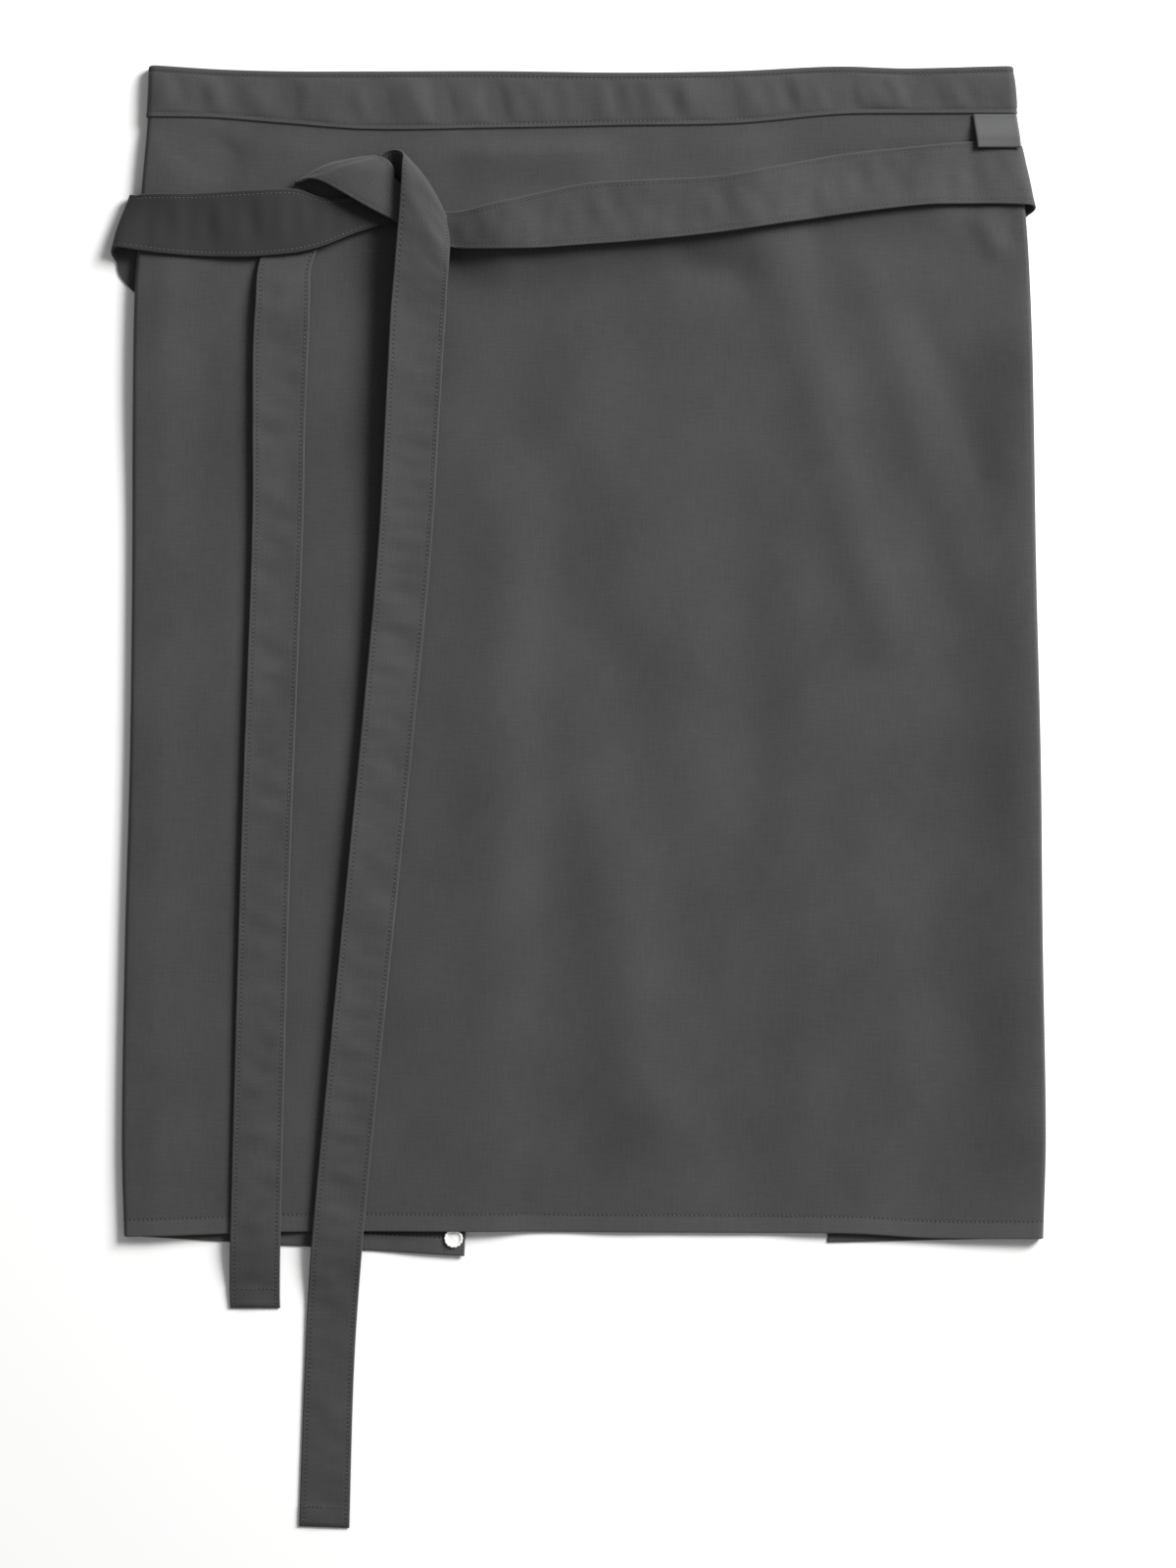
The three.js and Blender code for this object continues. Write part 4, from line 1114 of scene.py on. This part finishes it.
def coloured(tree, shader, tone, dark, light):
    """Gives a shader a colour between a dark and a light one by a tone from 0 to 1."""
    node = tree.nodes.new("ShaderNodeMix")
    node.data_type = "RGBA"
    node.clamp_factor = True
    put(tree, node.inputs["Factor"], tone)
    node.inputs["A"].default_value = dark
    node.inputs["B"].default_value = light
    tree.links.new(node.outputs["Result"], shader.inputs["Base Color"])


def seam_holes_and_shade(tree, edge_line, end_line):
    """Where the cloth is drawn in by its stitches: 1 at each needle hole on a stitch line and 0 half
    way between two, by a cosine, which gives the holes both their relief and a painted shade.
    edge_line and end_line are how far the lines lie from the long edges and from the end."""
    from_end, from_edge = parts_of(tree, map_of(tree, "seam"))
    holes_and_shade = 0.0
    for distance, other, line in ((from_edge, from_end, edge_line), (from_end, from_edge, end_line)):
        if line is None:
            continue
        holes = maths(tree, "COSINE", maths(tree, "MULTIPLY", other, 2 * math.pi / STITCH_PITCH))
        depth = maths(tree, "MULTIPLY_ADD", holes, 0.5, 0.5)
        groove = maths(tree, "MULTIPLY", bell_of(tree, distance, line, 0.75), depth)
        holes_and_shade = maths(tree, "MAXIMUM", holes_and_shade, groove)
    return holes_and_shade, from_edge


def twill(name, edge_line, end_line, level=CLOTH_TONE, inner=0.0, hem=0.0):
    """Dyed cotton twill: fine slanting wales crossed by the weft, slubs along both threads, a
    cloudy tone, paler where edges rub and over a hem, and painted shade at the seams' needle holes.
    level is its mean tone, inner the painted shade that darkens the cloth's first side, and hem the
    hem's width."""
    material, tree, shader = finish_of(name, 0.88)
    shader.inputs["Specular IOR Level"].default_value = 0.25
    shader.inputs["Sheen Weight"].default_value = 0.12
    shader.inputs["Sheen Roughness"].default_value = 0.5
    weave = map_of(tree, "weave")
    wales = stripes(tree, weave, 1.0, 0.62, 0.95)
    weft = stripes(tree, weave, -0.35, 1.0, 0.55)
    heather = speckle(tree, weave, 0.9, 1.1, 3.0)
    warp_slub = speckle(tree, weave, 1.3, 17)
    weft_slub = speckle(tree, weave, 14, 1.5)
    cloud = speckle(tree, weave, 55, 75)
    holes_and_shade, from_edge = seam_holes_and_shade(tree, edge_line, end_line)
    rubbed = bell_of(tree, from_edge, 0.0, 0.7)
    hemmed = maths(tree, "LESS_THAN", from_edge, hem)
    first_side, _ = parts_of(tree, map_of(tree, "side"))
    tone = weighted(
        tree,
        (heather, 0.5),
        (warp_slub, 0.35),
        (weft_slub, 0.3),
        (cloud, 0.55),
        (wales, 0.03),
        (rubbed, 0.04),
        (hemmed, 0.22),
        # painted shade: darker at each needle hole along the stitch lines
        (holes_and_shade, -0.6),
        # painted shade: the cloth's first side is made darker by inner
        (first_side, -inner),
    )
    coloured(tree, shader, maths(tree, "ADD", tone, level - SPECKLE_MEAN), TWILL_DARK, TWILL_LIGHT)
    threads = ((wales, 0.03), (weft, 0.02), (heather, 0.07), (warp_slub, 0.05), (weft_slub, 0.05))
    bumped(tree, shader, weighted(tree, *threads, (holes_and_shade, -0.1)))
    return material


def woven_tape(name):
    """The label's close plain weave, a shade paler, with a painted highlight along both its side edges.
    """
    material, tree, shader = finish_of(name, 0.7)
    shader.inputs["Specular IOR Level"].default_value = 0.35
    weave = map_of(tree, "weave")
    ribs = stripes(tree, weave, 0.0, 1.0, 0.42)
    cross = stripes(tree, weave, 1.0, 0.0, 0.36)
    fleck = speckle(tree, weave, 0.7, 0.5)
    _, from_side = parts_of(tree, map_of(tree, "seam"))
    edge_highlight = bell_of(tree, from_side, 0.0, 0.8)
    # painted highlight: both side edges of the tape are made paler
    tone = weighted(tree, (fleck, 0.6), (ribs, 0.05), (cross, 0.03), (edge_highlight, 0.35))
    coloured(tree, shader, maths(tree, "ADD", tone, 0.15), LABEL_DARK, LABEL_LIGHT)
    bumped(tree, shader, weighted(tree, (ribs, 0.02), (cross, 0.01), (fleck, 0.05)))
    return material


def object_place(tree):
    """A piece's own coordinates in metres."""
    return tree.nodes.new("ShaderNodeTexCoord").outputs["Object"]


def sewing_thread(name):
    """Spun thread: its tone and its ply change along the seam."""
    material, tree, shader = finish_of(name, 0.6)
    place = object_place(tree)
    ply = stripes(tree, place, 1.0, 1.0, 0.35)
    fleck = speckle(tree, place, 2.2, 2.2)
    tone = maths(tree, "ADD", weighted(tree, (fleck, 0.5), (ply, 0.12)), 0.1)
    coloured(tree, shader, tone, TWILL_DARK, THREAD_LIGHT)
    bumped(tree, shader, maths(tree, "MULTIPLY", ply, 0.02))
    return material


def pressed_nickel(name):
    """Bright plated metal with small dents and cloudy gloss."""
    material, tree, shader = finish_of(name, 0.3, 0.2)
    place = object_place(tree)
    dents = speckle(tree, place, 1.6, 1.6, 1.0)
    cloud = speckle(tree, place, 3.5, 3.5)
    coloured(tree, shader, cloud, NICKEL_DULL, NICKEL_BRIGHT)
    put(tree, shader.inputs["Roughness"], maths(tree, "MULTIPLY_ADD", cloud, 0.25, 0.2))
    bumped(tree, shader, maths(tree, "MULTIPLY", dents, 0.15))
    return material


def pale_floor(name):
    """A matt pale sheet with the faintest cloud in it."""
    material, tree, shader = finish_of(name, 0.9)
    shader.inputs["Specular IOR Level"].default_value = 0.1
    cloud = speckle(tree, object_place(tree), 900, 700)
    coloured(tree, shader, cloud, FLOOR_DARK, FLOOR_LIGHT)
    return material


# The camera, the light and the floor. The lamp's place is in metres and its power in watts.
LAMP_PLACE = (3.1, 2.5, 2.4)
LAMP_SIZE = 2
LAMP_POWER = 480
SURROUND = 0.3
FLOOR_REACH = 14000


def place_camera():
    """Straight over the apron, framed as the photograph is."""
    data = bpy.data.cameras.new("camera")
    camera = bpy.data.objects.new("camera", data)
    bpy.context.scene.collection.objects.link(camera)
    x = MIDDLE + (IMAGE_WIDTH / 2 - MIDDLE_PIXEL) * PIXEL * MM
    y = TOP - (IMAGE_HEIGHT / 2 - TOP_PIXEL) * PIXEL * MM
    camera.location = (x, y, CAMERA_HEIGHT * MM)
    data.sensor_width = SENSOR
    data.lens = SENSOR * (CAMERA_HEIGHT - MEAN_HEIGHT) / (IMAGE_HEIGHT * PIXEL)
    data.clip_start = 0.1
    data.clip_end = 100
    bpy.context.scene.camera = camera


def place_light():
    """One large soft lamp at the upper right and an even pale surrounding."""
    data = bpy.data.lights.new("softbox", "AREA")
    data.shape = "SQUARE"
    data.size = LAMP_SIZE
    data.energy = LAMP_POWER
    lamp = bpy.data.objects.new("softbox", data)
    bpy.context.scene.collection.objects.link(lamp)
    lamp.location = LAMP_PLACE
    away = lamp.location.normalized()
    lamp.rotation_mode = "QUATERNION"
    lamp.rotation_quaternion = away.to_track_quat("Z", "Y")
    world = bpy.data.worlds.new("studio")
    world.use_nodes = True
    around = world.node_tree.nodes["Background"]
    around.inputs["Color"].default_value = (1, 1, 1, 1)
    around.inputs["Strength"].default_value = SURROUND
    bpy.context.scene.world = world
    bpy.context.scene.view_settings.view_transform = "Standard"


def place_floor():
    """A wide level sheet under the apron."""
    corners = FLOOR_REACH * np.array([[-1, -1, 0], [1, -1, 0], [1, 1, 0], [-1, 1, 0]], float)
    floor = build("floor", corners, [np.array([[3, 2, 1, 0]])])
    floor.data.materials.append(pale_floor("pale_floor"))


def settle(piece, finish, slot, *nodes):
    """Gives a piece its finish and its place on the body, and hides the nodes it stands for."""
    piece.data.materials.append(finish)
    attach(piece, "root")
    if nodes:
        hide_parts(*nodes)


def dress_panel(thread, cloth, cloth_across):
    """The cloth, with the stitches of its hems on both faces."""
    panel, face, back, normals = make_panel(cloth, cloth_across)
    finish = twill("twill_cloth", HEM_HEIGHT, SIDE_HEM, hem=HEM_HEIGHT)
    settle(panel, finish, "twill", "apron_panel")
    hem_row = -int(np.count_nonzero(HEM_SHARES > 0)) - 1
    half_way = len(cloth_across) // 2
    from_left = cloth_across[:half_way]
    from_right = (cloth_across[-1] - cloth_across[::-1])[:half_way]
    side_column = int(np.flatnonzero(SIDE_HEM_STEPS == SIDE_HEM)[0])
    skirt = slice(len(BAND_SHARES), None)
    hem_threads = []
    side_threads = []
    for grid, way in ((face, normals), (back, -normals)):
        row, row_normals = grid[:, hem_row], way[:, hem_row]
        hem_threads.append(seam_threads(row[:half_way], row_normals[:half_way], from_left))
        row, row_normals = row[::-1], row_normals[::-1]
        hem_threads.append(seam_threads(row[:half_way], row_normals[:half_way], from_right))
        for column in (side_column, -side_column - 1):
            line, line_normals = grid[column, skirt][::-1], way[column, skirt][::-1]
            side_threads.append(seam_threads(line, line_normals, line[0, 1] - line[:, 1]))
    settle(make_threads("hem_stitching", hem_threads), thread, "twill")
    settle(make_threads("side_hem_stitching", side_threads), thread, "twill")
    return panel


def dress_band(thread, cloth):
    """The waistband, with two lines of stitches on each of its plies."""
    band, face, back, normals = make_band(cloth)
    settle(band, twill("twill_band", STITCH_INSET, None, BAND_TONE), "twill", "waistband")
    band_length = lengths(back[:, 0])
    inset_row = int(np.flatnonzero(BAND_FROM_EDGE == STITCH_INSET)[0])
    upper_row = 2 * len(BAND_FROM_EDGE) + len(BAND_BETWEEN) - 1 - inset_row
    last_row = face.shape[1] - 1
    rows = (inset_row, upper_row, last_row - upper_row, last_row - inset_row)
    threads = [seam_threads(back[:, row], -normals[:, row], band_length) for row in rows]
    settle(make_threads("waistband_stitching", threads), thread, "twill")


def dress_tie(make, node, painted_shade, thread):
    """A tie, with stitches along both long edges and across its turned end, on both sides."""
    tie, face, back, normals = make()
    # inner is a painted shade that darkens the tie's first side
    settle(tie, twill("twill_" + node, STITCH_INSET, TIE_END_SEAM, inner=painted_shade), "twill", node)
    tie_line = int(np.flatnonzero(TIE_ACROSS == STITCH_INSET)[0])
    from_tip = lengths(((face + back).mean(1) / 2)[::-1])
    at_end = -1 - int(np.argmin(abs(from_tip - TIE_END_SEAM)))
    threads = []
    for grid, way in ((face, normals), (back, -normals)):
        for column in (tie_line, -tie_line - 1):
            threads.append(seam_threads(grid[::-1, column], way[::-1, column], from_tip))
        line, line_normals = grid[at_end, tie_line:-tie_line], way[at_end, tie_line:-tie_line]
        threads.append(seam_threads(line, line_normals, STITCH_INSET + lengths(line)))
    settle(make_threads(tie.name + "_stitching", threads), thread, "twill")


def dress_label():
    """The label, which lies over the right tie."""
    label = make_label()[0]
    settle(label, woven_tape("woven_tape"), "label_tape", "label_tab")


def dress_stud():
    """Both halves of the press stud."""
    nickel = pressed_nickel("pressed_nickel")
    cap, stud_back = make_stud()
    settle(cap, nickel, "stud_metal", "snap_cap")
    settle(stud_back, nickel, "stud_metal", "snap_back")


place_camera()
place_light()
place_floor()

cloth, cloth_across = cloth_middle()
thread = sewing_thread("sewing_thread")
panel = dress_panel(thread, cloth, cloth_across)
dress_band(thread, cloth)
# The left tie's first side, which shows on its run left of the knot, gets a painted shade
dress_tie(left_tie, "tie_left", LEFT_TIE_PAINTED_SHADE, thread)
dress_tie(right_tie, "tie_right", 0.0, thread)
dress_label()
dress_stud()
